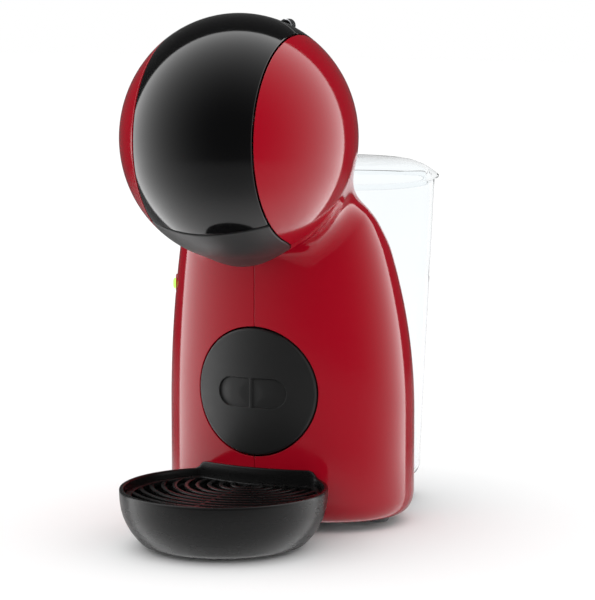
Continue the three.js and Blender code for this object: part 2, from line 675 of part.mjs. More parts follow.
// ---------------------------------------------------------------- power button
function powerButton() {
  const turn = outOfSide(buttonTurn);
  const back = BUTTON_PROUD - BUTTON_LENGTH;
  const recess = bar(LIGHT_RADIUS + 0.3, BUTTON_PROUD - 2, 8, buttonAt, turn);
  add('power_button',
    bar(BUTTON_RADIUS, back, BUTTON_PROUD, buttonAt, turn, 18).subtract(recess), RED, 0.2);
  add('power_light',
    bar(LIGHT_RADIUS, BUTTON_PROUD - 1.7, BUTTON_PROUD + 0.9, buttonAt, turn), 0x7de33a, 0.3);
  const far = back - BUTTON_TRAVEL - 0.5;
  const block = new THREE.BoxGeometry(9, 9, 7);
  block.translate(0, 0, far - 3.5);
  turn(block);
  block.translate(...buttonAt);
  add('power_switch', solid(block), INNER_GREY, 0.5);
}

// ---------------------------------------------------------------- base, chassis, feet
const screwPlaces = [[-40, 0], [40, 0], [-40, 34], [40, 34]];
const footPlaces = {
  foot_front_left: [-22, -16],
  foot_front_right: [22, -16],
  foot_middle_left: [-50, 20],
  foot_middle_right: [50, 20],
  foot_rear_left: [-30, 100],
  foot_rear_right: [30, 100],
};

function tankSection(z, grow = 0) {
  const share = (z - TANK_FLOOR) / (TANK_RIM - TANK_FLOOR);
  const inset = TANK_TAPER * (1 - share);
  const up = Math.min(1, Math.max(0, (z - TANK_FLOOR) / 6));
  const round = 4 * (1 - Math.sqrt(1 - (1 - up) ** 2));
  return {
    halfWidth: TANK_HALF_WIDTH - inset - round + grow,
    halfDepth: TANK_HALF_DEPTH - inset * 0.6 - round + grow,
    y: TANK_Y,
  };
}

function baseAndFrame() {
  const plan = bodySection(BODY_BOTTOM, -WALL - GAP);
  const inBody = loft([BODY_BOTTOM, BASE_TOP], () => plan, BODY_SQUARENESS);
  const dock = tankSection(TANK_FLOOR + 10, -3);
  const underTank = loft([BODY_BOTTOM, BASE_TOP], () => dock, TANK_SQUARENESS)
    .subtract(bodyForm(GAP, 0));
  const bridge = box(
    -BRIDGE_HALF, BRIDGE_HALF, REAR_SPLIT_Y + 1, DOCK_Y, BODY_BOTTOM, BASE_TOP);
  const ring = bar(NECK_RADIUS + 0.6 + DOCK_WALL, BASE_TOP - 1, TANK_FLOOR - 0.8, [0, DOCK_Y, 0])
    .subtract(bar(NECK_RADIUS + 0.6, BASE_TOP, FAR, [0, DOCK_Y, 0]))
    .subtract(box(-3.2, 3.2, -FAR, DOCK_Y, BASE_TOP + 0.2, FAR));
  const pin = bar(1.5, BASE_TOP - 1, TANK_FLOOR - 3 - GAP, [0, DOCK_Y, 0], null, 10);
  let base = join(inBody, underTank, bridge, ring, pin);
  for (const [x, y] of screwPlaces) {
    base = base.subtract(bar(SCREW_RADIUS + SCREW_CLEARANCE, 0, 20, [x, y, 0], null, 14))
      .subtract(bar(SCREW_HEAD_RADIUS + SCREW_CLEARANCE, 0, BODY_BOTTOM + 1.7, [x, y, 0]));
  }
  add('base_plate', base, MATT_BLACK, 0.6);

  const top = HOLDER_SLOT_FLOOR - 5;
  const plate = box(
    -CHASSIS_HALF_WIDTH, CHASSIS_HALF_WIDTH, CHASSIS_Y, CHASSIS_Y + CHASSIS_THICK,
    BASE_TOP + GAP, top,
  );
  const flange = box(-48, 48, -8, CHASSIS_Y + 24, BASE_TOP + GAP, FLANGE_TOP);
  const cradle = (z) => box(
    PUMP_X - 6, PUMP_X + 6, PUMP_Y + PUMP_RADIUS + 4, CHASSIS_Y + 1, z, z + 6,
  );
  const heaterArm = (z) => box(
    HEATER_X - 7, HEATER_X + 7, HEATER_Y + HEATER_RADIUS + GAP, CHASSIS_Y + 1, z, z + 6,
  );
  let chassis = join(
    plate, flange, cradle(PUMP_BOTTOM + 8), cradle(PUMP_BOTTOM + PUMP_LENGTH - 14),
    heaterArm(HEATER_BOTTOM + 4), heaterArm(HEATER_BOTTOM + HEATER_LENGTH - 12),
  ).subtract(bar(HOSE_RADIUS + 2, -FAR, FAR, [-22, 0, FLANGE_TOP + 5], alongY));
  for (const [x, y] of screwPlaces) {
    chassis = chassis.subtract(bar(SCREW_RADIUS + SCREW_CLEARANCE, 0, 20, [x, y, 0], null, 14));
  }
  add('chassis', chassis, INNER_GREY, 0.5);

  for (const [name, [x, y]] of Object.entries(footPlaces)) {
    const profile = [
      [0, 0], [FOOT_RADIUS - 0.8, 0], [FOOT_RADIUS, 0.8], [FOOT_RADIUS, BODY_BOTTOM - GAP],
      [0, BODY_BOTTOM - GAP],
    ];
    add(name, turned(profile, [x, y, 0], 12), 0x6a6c6e, 0.9);
  }
  const ends = ['front_left', 'front_right', 'rear_left', 'rear_right'];
  screwPlaces.forEach(([x, y], i) => {
    const low = BODY_BOTTOM + 0.2;
    const profile = [
      [0, low], [SCREW_HEAD_RADIUS - 0.6, low], [SCREW_HEAD_RADIUS, low + 0.5],
      [SCREW_HEAD_RADIUS, low + 1.2], [SCREW_RADIUS, low + 1.2], [SCREW_RADIUS, FLANGE_TOP + 2],
      [0, FLANGE_TOP + 3],
    ];
    add(`base_screw_${ends[i]}`, turned(profile, [x, y, 0], 10), STEEL, 0.3, 1);
  });
}

// ---------------------------------------------------------------- pump
function pump() {
  const top = PUMP_BOTTOM + PUMP_LENGTH;
  const shoulder = 6;
  const at = [PUMP_X, PUMP_Y, 0];
  const bodyProfile = [
    [1.6, PUMP_BOTTOM], [3.6, PUMP_BOTTOM], [3.6, PUMP_BOTTOM + shoulder],
    [PUMP_RADIUS, PUMP_BOTTOM + shoulder], [PUMP_RADIUS, top - shoulder], [3.6, top - shoulder],
    [3.6, top], [1.6, top], [1.6, top - shoulder - 5], [PUMP_BORE, top - shoulder - 5],
    [PUMP_BORE, PUMP_BOTTOM + shoulder + 5], [1.6, PUMP_BOTTOM + shoulder + 5],
    [1.6, PUMP_BOTTOM],
  ];
  add('pump_body', turned(bodyProfile, at), 0x2f3032, 0.5);
  const coil = box(
    PUMP_X - COIL_WIDTH / 2, PUMP_X + COIL_WIDTH / 2, PUMP_Y - COIL_DEPTH / 2,
    PUMP_Y + COIL_DEPTH / 2, COIL_BOTTOM, COIL_BOTTOM + COIL_HEIGHT,
  ).subtract(bar(PUMP_RADIUS + GAP, 0, FAR, at, null, 16));
  add('pump_coil', coil, 0x5b3a2a, 0.55);
  const collar = (name, z) => {
    const inner = PUMP_RADIUS + GAP;
    const outer = PUMP_RADIUS + 4 - GAP;
    add(name, turned(
      [[inner, z], [outer, z], [outer, z + 6], [inner, z + 6], [inner, z]], at), 0x1a1a1a, 0.9);
  };
  collar('pump_mount_lower', PUMP_BOTTOM + 8);
  collar('pump_mount_upper', top - 14);
  const piston = COIL_BOTTOM + 5;
  add('pump_piston', bar(
    PUMP_BORE - 0.4, piston, piston + PISTON_LENGTH, at, null), STEEL, 0.25, 1);
  const springLow = piston + PISTON_LENGTH + GAP;
  const springTop = top - shoulder - 5 - GAP;
  add('pump_spring', turned([
    [3.6, springLow], [PUMP_BORE - 0.8, springLow], [PUMP_BORE - 0.8, springTop],
    [3.6, springTop], [3.6, springLow],
  ], at), STEEL, 0.3, 1);
  return { top };
}

// ---------------------------------------------------------------- heater
function heater() {
  const at = [HEATER_X, HEATER_Y, 0];
  const top = HEATER_BOTTOM + HEATER_LENGTH;
  const rib = HEATER_RADIUS - 2;
  add('thermoblock', turned([
    [0, HEATER_BOTTOM], [rib, HEATER_BOTTOM], [HEATER_RADIUS, HEATER_BOTTOM + 3],
    [HEATER_RADIUS, HEATER_BOTTOM + 24], [rib, HEATER_BOTTOM + 26], [rib, top - 26],
    [HEATER_RADIUS, top - 24], [HEATER_RADIUS, top - 3], [rib, top], [0, top],
  ], at, 20), 0x9a9da0, 0.5, 1);
  add('thermostat', turned([
    [0, top + GAP], [6, top + GAP], [6, top + 4], [3, top + 6], [0, top + 6],
  ], [HEATER_X + 4, HEATER_Y - 9, 0], 16), 0xcfc9b8, 0.6);
  return { top };
}

// ---------------------------------------------------------------- hoses
function hoses(pumpTop, heaterTop, valve, bushHoseZ) {
  const teeLow = pumpTop + GAP;
  const teeTop = teeLow + 8.6;
  add('water_tee', box(
    PUMP_X - 5, PUMP_X + 5, PUMP_Y - 5, PUMP_Y + 5, teeLow, teeTop), BRASS, 0.35, 1);
  const teeZ = (teeLow + teeTop) / 2;
  add('pressure_hose', hose([
    [PUMP_X + 5 + GAP, PUMP_Y, teeZ], [PUMP_X + 8, PUMP_Y, teeZ],
    [PUMP_X + 17, PUMP_Y + 1, teeZ + 1],
    [HEATER_X - 18, HEATER_Y + 4, teeZ - 6], [HEATER_X - 9, HEATER_Y + 1, heaterTop + 14],
    [HEATER_X - 8, HEATER_Y, heaterTop + GAP],
  ]), HOSE, 0.6);
  const neckY = HEAD_Y + 50.5;
  add('cold_hose', hose([
    [PUMP_X, PUMP_Y, teeTop + GAP], [PUMP_X, PUMP_Y, teeTop + 4],
    [PUMP_X + 3, PUMP_Y, teeTop + 13],
    [PUMP_X + 16, neckY, HEAD_Z - 40], [-7, neckY, HEAD_Z - 8],
    [-6, valve.valveRear + 5, valve.valveZ], [-6, valve.valveRear + GAP, valve.valveZ],
  ], HOSE_RADIUS, 14), HOSE, 0.6);
  add('hot_hose', hose([
    [HEATER_X + 7, HEATER_Y + 8, heaterTop + GAP], [HEATER_X + 6, HEATER_Y + 9, heaterTop + 20],
    [HEATER_X - 12, neckY, HEAD_Z - 40], [8, neckY, HEAD_Z - 8],
    [6, valve.valveRear + 5, valve.valveZ], [6, valve.valveRear + GAP, valve.valveZ],
  ], HOSE_RADIUS, 14), HOSE, 0.6);
  add('outlet_hose', hose([
    [0, CAPSULE_Y + 7 + GAP, bushHoseZ], [0, (CAPSULE_Y + valve.valveFront) / 2, bushHoseZ],
    [0, valve.valveFront - GAP, bushHoseZ],
  ], HOSE_RADIUS, 4), HOSE, 0.6);
  const pipeZ = BASE_TOP + 3.2;
  add('dock_pipe', hose([
    [0, DOCK_Y - NECK_RADIUS, pipeZ], [0, DOCK_Y - 20, pipeZ], [0, CHASSIS_Y + 33, pipeZ],
  ], 2.4, 4), 0x2f3032, 0.5);
  add('suction_hose', hose([
    [0, CHASSIS_Y + 33 - GAP, pipeZ], [0, CHASSIS_Y + 30, pipeZ],
    [-5, CHASSIS_Y + 24, FLANGE_TOP + 4],
    [-20, CHASSIS_Y + 12, FLANGE_TOP + 5], [-22, CHASSIS_Y - 2, FLANGE_TOP + 5],
    [PUMP_X + 1, PUMP_Y + 4, FLANGE_TOP + 4.2], [PUMP_X, PUMP_Y, PUMP_BOTTOM - 3],
    [PUMP_X, PUMP_Y, PUMP_BOTTOM - GAP],
  ], 2.4, 16), HOSE, 0.6);
}

// ---------------------------------------------------------------- electrics
function electrics() {
  const y = CHASSIS_Y + CHASSIS_THICK + 9;
  const board = join(
    box(-40, 20, y, y + 1.6, 40, 105),
    box(-34, -14, y + 1, y + 15, 78, 98),
    box(-6, 12, y + 1, y + 12, 48, 62),
  );
  add('circuit_board', board, 0x2f5a3a, 0.6);
  const turn = outOfSide(glandTurn);
  const profile = [
    [GLAND_BORE, -8], [GLAND_RADIUS - 1, -8], [GLAND_RADIUS - 1, -WALL - 1.6],
    [GLAND_NECK, -WALL - 1.6],
    [GLAND_NECK, 1.2], [GLAND_RADIUS, 1.2], [GLAND_RADIUS - 1, 4.5], [GLAND_BORE, 4.5],
    [GLAND_BORE, -8],
  ];
  const points = profile.map(([r, z]) => new THREE.Vector2(r, z));
  const g = new THREE.LatheGeometry(points, ROUND_SIDES);
  g.rotateX(Math.PI / 2);
  turn(g);
  g.translate(...glandAt);
  add('cord_gland', solid(g), 0x18181a, 0.8);
}

// ---------------------------------------------------------------- water tank
function tank() {
  const levels = [
    ...[0, 0.15, 0.5, 1].map((share) => TANK_FLOOR + 6 * share), ...steps(60, TANK_RIM, 4),
  ];
  const outer = loft(levels, (z) => tankSection(z), TANK_SQUARENESS).subtract(behindBody);
  const innerLevels = [TANK_FLOOR + TANK_WALL, ...levels.slice(3), TANK_RIM + 5];
  const inner = loft(innerLevels, (z) => tankSection(Math.min(z, TANK_RIM), -TANK_WALL),
    TANK_SQUARENESS).subtract(bodyForm(TANK_GAP + TANK_WALL, 0));
  const neck = bar(NECK_RADIUS, TANK_FLOOR - 4, TANK_FLOOR + 1, [0, DOCK_Y, 0], null, 16);
  const bore = bar(NECK_RADIUS - 2, 0, TANK_FLOOR + 4, [0, DOCK_Y, 0], null, 16);
  add('tank', outer.subtract(inner).add(neck).subtract(bore), CLEAR, 0.08);

  const floor = TANK_FLOOR + TANK_WALL;
  const poppet = turned([
    [0, TANK_FLOOR - 3], [1.8, TANK_FLOOR - 3], [1.8, floor + 2.2], [5.6, floor + 2.8],
    [5.6, floor + 4.6], [0, floor + 5.2],
  ], [0, DOCK_Y, 0]);
  add('tank_valve', poppet, 0x2f3032, 0.5);

  // lid: a shallow dome with a lip outside the rim and a spigot inside it
  const low = TANK_RIM + GAP;
  const dome = (grow, z0) => {
    const rise = [0, 0.36, 0.5, 0.75, 0.93, 1];
    const narrow = [0, 0, 1.2, 14, 31, 44];
    const levelsUp = rise.map((share) => z0 + share * (LID_HEIGHT + grow));
    return loft(levelsUp, (z) => {
      const i = levelsUp.findIndex((level) => Math.abs(level - z) < 1e-6);
      return {
        halfWidth: TANK_HALF_WIDTH + LID_LIP + grow - narrow[i],
        halfDepth: TANK_HALF_DEPTH + LID_LIP + grow - narrow[i],
        y: TANK_Y,
      };
    }, TANK_SQUARENESS);
  };
  const spigotAt = (grow, z0, z1) => loft([z0, z1], () => ({
    halfWidth: TANK_HALF_WIDTH - TANK_WALL + grow,
    halfDepth: TANK_HALF_DEPTH - TANK_WALL + grow,
    y: TANK_Y,
  }), TANK_SQUARENESS);
  const lid = dome(0, low)
    .add(spigotAt(-0.6, low - 3.5, low + 1))
    .subtract(dome(-1.8, low - 1).intersect(spigotAt(-2.4, low - 10, FAR)))
    .subtract(spigotAt(-2.4, low - 10, low + 1));
  add('tank_lid', lid, CLEAR, 0.08);
}

// ---------------------------------------------------------------- drip tray
function dripTray() {
  const depth = TRAY_HEIGHT - TRAY_BOTTOM;
  // the wall runs in toward the bottom like a quarter egg
  const radiusAt = (z, grow = 0) => {
    const share = Math.min(1, Math.max(0, (z - TRAY_BOTTOM) / depth));
    return TRAY_RADIUS + grow - 12 * (1 - share) ** 2.6;
  };
  const round = (levels, grow, at = radiusAt) => loft(levels, (z) => ({
    halfWidth: at(z, grow), halfDepth: at(z, grow), y: TRAY_Y,
  }), 2);
  const outer = round([0, 0.1, 0.25, 0.5, 0.75, 1].map((s) => TRAY_BOTTOM + s * depth), 0)
    .subtract(bodyForm(TRAY_GAP, 0));
  const shelf = TRAY_HEIGHT - LEDGE_DROP;
  const backWall = bodyForm(TRAY_GAP + TRAY_WALL, 0);
  const recess = round([shelf, TRAY_HEIGHT + 20], -TRAY_WALL).subtract(backWall);
  const bowl = round([TRAY_BOTTOM + TRAY_WALL, TRAY_BOTTOM + 8, TRAY_BOTTOM + 15, shelf + 1],
    -TRAY_WALL - 3).subtract(bodyForm(TRAY_GAP + TRAY_WALL + 2, 0));
  const lip = round([TRAY_HEIGHT - 3, TRAY_HEIGHT + TRAY_LIP], -4)
    .intersect(bodyForm(TRAY_GAP + TRAY_WALL, 0)).subtract(bodyForm(TRAY_GAP, 0));
  add('drip_tray', outer.subtract(recess).subtract(bowl).add(lip), GLOSS_BLACK, 0.3);

  const low = shelf + GAP;
  const edge = round([low, low + GRID_THICK], -TRAY_WALL - GAP - 0.2)
    .subtract(bodyForm(TRAY_GAP + TRAY_WALL + GAP + 0.2, 0));
  const centreY = TRAY_Y + 22;
  let grid = edge;
  const keep = round([low - 2, low + GRID_THICK + 2], -TRAY_WALL - 5)
    .subtract(bodyForm(TRAY_GAP + TRAY_WALL + 5, 0))
    .subtract(box(-1.5, 1.5, -FAR, FAR, -FAR, FAR));
  for (let i = 0; i < SLOT_COUNT; i += 1) {
    const inner = 14 + i * SLOT_PITCH;
    const outerR = inner + SLOT_WIDTH;
    const ring = turned([
      [inner, low - 1], [outerR, low - 1], [outerR, low + GRID_THICK + 1],
      [inner, low + GRID_THICK + 1], [inner, low - 1],
    ], [0, centreY, 0], 24);
    grid = grid.subtract(ring.intersect(keep));
  }
  add('drip_grid', grid, GLOSS_BLACK, 0.35);
  add('tray_pad', turned([
    [0, 0], [4.2, 0], [5, 0.8], [5, TRAY_BOTTOM - GAP], [0, TRAY_BOTTOM - GAP],
  ], [11, TRAY_Y - 20, 0], 12), 0x8a8c8e, 0.8);
}

redShells();
rearCover();
rearPanel();
frontDisc();
handle();
headFrame();
capsuleHolder();
const { hoseZ } = injector();
const valve = selector();
powerButton();
baseAndFrame();
const { top: pumpTop } = pump();
const { top: heaterTop } = heater();
hoses(pumpTop, heaterTop, valve, hoseZ);
electrics();
tank();
dripTray();

export default part;
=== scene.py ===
"""Looks for the capsule coffee machine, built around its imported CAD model.

Sizes are millimetres in the functions and metres in the finished meshes.
"""
import json
import math

import bmesh
import bpy
import numpy as np
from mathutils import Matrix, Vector


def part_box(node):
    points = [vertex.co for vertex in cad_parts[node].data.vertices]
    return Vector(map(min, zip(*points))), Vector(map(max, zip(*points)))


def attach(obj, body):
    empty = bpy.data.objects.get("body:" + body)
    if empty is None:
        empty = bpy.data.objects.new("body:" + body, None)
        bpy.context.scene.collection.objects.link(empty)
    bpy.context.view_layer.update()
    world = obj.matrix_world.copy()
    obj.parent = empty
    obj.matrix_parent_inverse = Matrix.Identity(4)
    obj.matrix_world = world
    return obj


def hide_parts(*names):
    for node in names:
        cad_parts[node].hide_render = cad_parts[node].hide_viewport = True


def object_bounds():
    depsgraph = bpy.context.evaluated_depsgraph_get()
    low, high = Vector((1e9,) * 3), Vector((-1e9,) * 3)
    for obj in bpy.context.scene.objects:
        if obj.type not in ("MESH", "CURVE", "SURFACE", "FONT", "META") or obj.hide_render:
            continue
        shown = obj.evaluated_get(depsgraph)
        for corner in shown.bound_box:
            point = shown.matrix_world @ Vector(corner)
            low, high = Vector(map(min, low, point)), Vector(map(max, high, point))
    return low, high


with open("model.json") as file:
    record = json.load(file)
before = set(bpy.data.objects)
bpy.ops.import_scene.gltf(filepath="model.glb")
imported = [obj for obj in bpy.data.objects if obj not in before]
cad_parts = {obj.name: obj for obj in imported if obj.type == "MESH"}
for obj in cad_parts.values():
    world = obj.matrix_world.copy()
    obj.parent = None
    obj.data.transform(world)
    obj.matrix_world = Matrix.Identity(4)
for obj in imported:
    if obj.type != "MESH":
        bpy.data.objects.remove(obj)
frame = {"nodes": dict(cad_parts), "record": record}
cad_box = [[float(c) for c in corner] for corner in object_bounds()]
NODES = frame["nodes"]
MM = 0.001


def node_box(name):
    """Lowest and highest corner of a CAD node, in millimetres."""
    low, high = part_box(name)
    return np.array(low) * 1000, np.array(high) * 1000


# ------------------------------------------------------------------ sizes
TOP = cad_box[1][2] * 1000
HEAD = np.array([0.0, -51.0, TOP - 65.0])
HEAD_HALF = np.array([62.0, 66.0, 65.0])
BAND_HALF = 34.4
BAND_GAP = 0.6
COVER_HALF = BAND_HALF - BAND_GAP
BODY_FRONT = -33.4
BODY_LOW = node_box("left_shell")[0][2]
REAR_SPLIT = node_box("rear_panel")[0][1]
SHOULDER = HEAD[2] - 154
NECK = HEAD[2] - 64
CROWN = HEAD[2] - 49
SQUARENESS = 2.2
AXIS = np.array([0.0, -22.0, HEAD[2] + 24])
EDGE_RADIUS = 43.5
VISOR_LOW = node_box("handle_cover")[0][2]
VISOR_RISE = 5.5
HOLDER_TOP = node_box("capsule_holder")[1][2]
CHIN_DROP = 3.4
CAPSULE_Y = -52.0
BAY_Y = BODY_FRONT - BAND_HALF - 0.2
BELLY_HALF = np.array([30.0, 32.0, 29.4])
BELLY = np.array([0.0, HEAD[1] + 4, HEAD[2] - 65 - CHIN_DROP + BELLY_HALF[2]])
DISC_RADIUS = 34.5
DISC_Z = node_box("front_disc")[0][2] + DISC_RADIUS
TRAY = np.array([0.0, -71.0])
TRAY_RADIUS = 55.0
TRAY_LOW = node_box("drip_tray")[0][2]
TRAY_RIM = 31.6
TANK = np.array([0.0, 72.0])
TANK_HALF = np.array([57.0, 51.5])
TANK_LOW = 14.0
TANK_RIM = HEAD[2] - 30
WALL = 2.4
PAD_SPAN, PAD_HEIGHT = 39.5, 15.7
BUTTON_Y = -6.0
BUTTON_HOLE, GLAND_HOLE = 5.6, 5.2
FOOT_GATE = (26.3, 9.0)
LEVER_SLOT, LEVER_Y = (22.8, 4.5), -27.5
OFF = -9.0
DOCK_Y = 92
LEVEL_BAND = (127.6, 134.4)
RUNNER_IN, RUNNER_OUT, RUNNER_END = 29.8, 33.6, -14.0
# the studio light: where it is dimmest, how fast it grows, and where it ends
LIGHT_MIDDLE = (0.411, -0.903, 0.129)
LIGHT_SPREAD, LIGHT_AT_SPREAD = math.radians(115), 3.0
LIGHT_END, LIGHT_END_SLANT, BEHIND_LIGHT = -0.555, 0.22, 0.012
ROOM_LIGHT = 1.12
WHITE, GREY = (1, 1, 1, 1), (0.5, 0.5, 0.5, 1)
# what the gloss mirrors of the floor: near and far distance in metres, share at the near one
FLOOR_POOLS = ((0.08, 0.3, 0.5), (0.5, 0.9, 0.15))


# ------------------------------------------------------------------ forms
def egg(p, centre, half):
    """Distance to an egg: below zero inside it."""
    q = (p - centre) / half
    k0 = np.linalg.norm(q, axis=1)
    k1 = np.linalg.norm(q / half, axis=1)
    return k0 * (k0 - 1) / np.maximum(k1, 1e-9)


def body_plan(z):
    over = np.maximum(0, z - SHOULDER)
    under = np.maximum(0, z - NECK)
    run_in = 0.36 * under**2 / (under + 8)
    crown = 0.02 * np.maximum(0, z - CROWN) ** 2
    up = np.clip((z - BODY_LOW) / 12, 0, 1)
    round_in = 7.2 * (1 - np.sqrt(np.maximum(0, 1 - (1 - up) ** 2)))
    half_x = np.maximum(3, 69.4 - 0.00118 * over**2 - crown - round_in)
    half_y = np.maximum(3, 48.8 - 0.0011 * over**2 - run_in - round_in)
    return half_x, half_y, BODY_FRONT + round_in + half_y


def trunk(p):
    """Distance to the oval body under the head."""
    half_x, half_y, y = body_plan(p[:, 2])
    a = np.abs(p[:, 0]) / half_x
    b = np.abs(p[:, 1] - y) / half_y
    rho = (a**SQUARENESS + b**SQUARENESS + 1e-12) ** (1 / SQUARENESS)
    return np.maximum((rho - 1) * np.minimum(half_x, half_y), p[:, 2] - (HEAD[2] - 10))


def ease(low, high, value):
    t = np.clip((value - low) / (high - low), 0, 1)
    return t * t * (3 - 2 * t)


def blend(a, b, k):
    h = np.clip(0.5 + 0.5 * (b - a) / k, 0, 1)
    return b * (1 - h) + a * h - k * h * (1 - h)


def ball(p):
    return egg(p, HEAD, HEAD_HALF)


def from_bay(p):
    """How far a point stands from the middle of the holder's round-ended bay."""
    return np.where(p[:, 1] < BAY_Y, np.abs(p[:, 0]), np.hypot(p[:, 0], p[:, 1] - BAY_Y))


def outside(p):
    """The whole moulded outside: the ball run into the body."""
    k = 0.5 + 16 * np.maximum(ease(BAND_HALF - 3, BAND_HALF + 18, from_bay(p)), ease(-30, -12, p[:, 1]))
    return blend(ball(p), trunk(p), k)


def chin(p):
    """Underside of the capsule holder: the ball with a belly under it."""
    return blend(ball(p), egg(p, BELLY, BELLY_HALF), 3.0)


def slope(form, p, e=0.05):
    g = np.empty_like(p)
    for i in range(3):
        step = np.zeros(3)
        step[i] = e
        g[:, i] = (form(p + step) - form(p - step)) / (2 * e)
    return g


def unit(v):
    return v / np.maximum(np.linalg.norm(v, axis=1, keepdims=True), 1e-12)


# ------------------------------------------------------------------ surfaces
def wrap(form, low, high, cell):
    """A fine net of triangles that lies on the form, between two corners."""
    axes = [np.arange(low[i], high[i] + cell, cell) for i in range(3)]
    size = [len(a) for a in axes]
    grid = np.stack(np.meshgrid(*axes, indexing="ij"), -1).reshape(-1, 3)
    value = form(grid).reshape(size)
    grid = grid.reshape(size + [3])
    inside = value < 0
    cells = [s - 1 for s in size]
    total = np.zeros(cells + [3])
    count = np.zeros(cells)
    window = lambda o: tuple(slice(o[i], o[i] + cells[i]) for i in range(3))
    corners = [(i, j, k) for i in (0, 1) for j in (0, 1) for k in (0, 1)]
    for a in corners:
        for b in corners:
            if sum(b) - sum(a) != 1 or sum(abs(b[i] - a[i]) for i in range(3)) != 1:
                continue
            va, vb = value[window(a)], value[window(b)]
            cross = (va < 0) != (vb < 0)
            t = np.where(cross, va / np.where(cross, va - vb, 1), 0)[..., None]
            point = grid[window(a)] * (1 - t) + grid[window(b)] * t
            total += np.where(cross[..., None], point, 0)
            count += cross
    number = np.full(cells, -1)
    number[count > 0] = np.arange((count > 0).sum())
    points = (total[count > 0]) / count[count > 0][:, None]
    quads = []
    for axis in range(3):
        u, w = [(1, 2), (2, 0), (0, 1)][axis]
        head = [slice(1, -1)] * 3
        head[axis] = slice(0, cells[axis])
        ahead = list(head)
        ahead[axis] = slice(1, cells[axis] + 1)
        first, second = inside[tuple(head)], inside[tuple(ahead)]
        spots = np.argwhere(first != second)
        out = first[tuple(spots.T)]
        base = spots + 1
        base[:, axis] = spots[:, axis]
        ring = []
        for du, dw in ((-1, -1), (0, -1), (0, 0), (-1, 0)):
            cell_at = base.copy()
            cell_at[:, u] += du
            cell_at[:, w] += dw
            ring.append(number[tuple(cell_at.T)])
        ring = np.stack(ring, 1)
        ring[~out] = ring[~out][:, ::-1]
        quads.append(ring)
    quads = np.concatenate(quads)
    quads = quads[(quads >= 0).all(1)]
    tris = np.concatenate([quads[:, [0, 1, 2]], quads[:, [0, 2, 3]]])
    return settle(form, points), tris


def settle(form, points, rounds=5):
    for _ in range(rounds):
        g = slope(form, points)
        step = form(points)[:, None] * g / np.maximum((g**2).sum(1, keepdims=True), 1e-6)
        length = np.linalg.norm(step, axis=1, keepdims=True)
        points = points - step * np.minimum(1, 1.5 / np.maximum(length, 1e-9))
    return points


def cut(points, tris, field, keep_all=False):
    """Cuts a net along field = 0 and keeps the side below zero, or both sides."""
    s = field(points)
    below = s <= 0
    flags = below[tris]
    n = flags.sum(1)
    mixed = (n == 1) | (n == 2)
    kept = [tris[n == 3]]
    if keep_all:
        kept.append(tris[n == 0])
    t, m, n = tris[mixed], flags[mixed], n[mixed]
    row = np.arange(len(t))
    odd = np.where(n == 1, m.argmax(1), (~m).argmax(1))
    a, b, c = t[row, odd], t[row, (odd + 1) % 3], t[row, (odd + 2) % 3]
    pairs = np.sort(np.concatenate([np.stack([a, b], 1), np.stack([a, c], 1)]), axis=1)
    pairs, back = np.unique(pairs, axis=0, return_inverse=True)
    back = back.ravel()
    start, end = points[pairs[:, 0]], points[pairs[:, 1]]
    start_below = below[pairs[:, 0]]
    low, high = np.zeros(len(pairs)), np.ones(len(pairs))
    for _ in range(16):
        mid = (low + high) / 2
        same = (field(start + (end - start) * mid[:, None]) <= 0) == start_below
        low, high = np.where(same, mid, low), np.where(same, high, mid)
    fresh = start + (end - start) * ((low + high) / 2)[:, None]
    ids = len(points) + back
    ab, ac = ids[: len(t)], ids[len(t):]
    near = np.stack([a, ab, ac], 1)
    far = np.concatenate([np.stack([ab, b, c], 1), np.stack([ab, c, ac], 1)])
    lone = n == 1
    both = np.concatenate([lone, lone])
    kept += [near[lone], far[~both]]
    if keep_all:
        kept += [near[~lone], far[both]]
    return tidy(np.concatenate([points, fresh]), np.concatenate(kept))


def tidy(points, tris):
    """Drops unused points and any face with a repeated corner."""
    tris = tris[(tris[:, 0] != tris[:, 1]) & (tris[:, 1] != tris[:, 2]) & (tris[:, 2] != tris[:, 0])]
    used, back = np.unique(tris, return_inverse=True)
    return points[used], back.reshape(-1, 3)


def rim_wall(tris, count):
    """Faces that join the open edges of a net to those of its copy, count points on."""
    edges = np.concatenate([tris[:, [0, 1]], tris[:, [1, 2]], tris[:, [2, 0]]])
    codes = edges[:, 0] * count + edges[:, 1]
    reverse = edges[:, 1] * count + edges[:, 0]
    a, b = edges[~np.isin(codes, reverse)].T
    return np.concatenate([np.stack([b, a, a + count], 1), np.stack([b, a + count, b + count], 1)])


def moulded(form, net, field, thick=WALL, edge=0.5):
    """A thick moulding with softly rounded edges, trimmed from a net.

    Returns points, faces and a normal for every corner of every face.
    """
    points, tris = cut(*net, field)
    for share in (0.12, 0.4, 1.0):
        points, tris = cut(points, tris, lambda p: field(p) + share * edge, keep_all=True)
    points = settle(form, points, 2)
    n = unit(slope(form, points))
    depth = np.clip(-field(points), 0, None)
    g = slope(field, points)
    g = unit(g - (g * n).sum(1, keepdims=True) * n)
    lean = np.clip(1 - depth / edge, 0, 1)[:, None]
    rise = np.sqrt(1 - lean**2)
    outer = points - n * edge * (1 - rise)
    outer_normal = unit(n * rise + g * lean)
    inner = points - n * thick
    count = len(points)
    rim_tris = rim_wall(tris, count)
    inner_tris = tris[:, ::-1] + count
    faces = np.concatenate([tris, inner_tris, rim_tris])
    sides = ((outer_normal, tris), (-n, tris[:, ::-1]), (g, rim_tris % count))
    normals = np.concatenate([normal[index].reshape(-1, 3) for normal, index in sides])
    return np.concatenate([outer, inner]), faces, normals


def finish_piece(obj, body, material, covers=()):
    obj.data.materials.clear()
    obj.data.materials.append(material)
    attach(obj, body)
    if covers:
        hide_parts(*covers)
    return obj


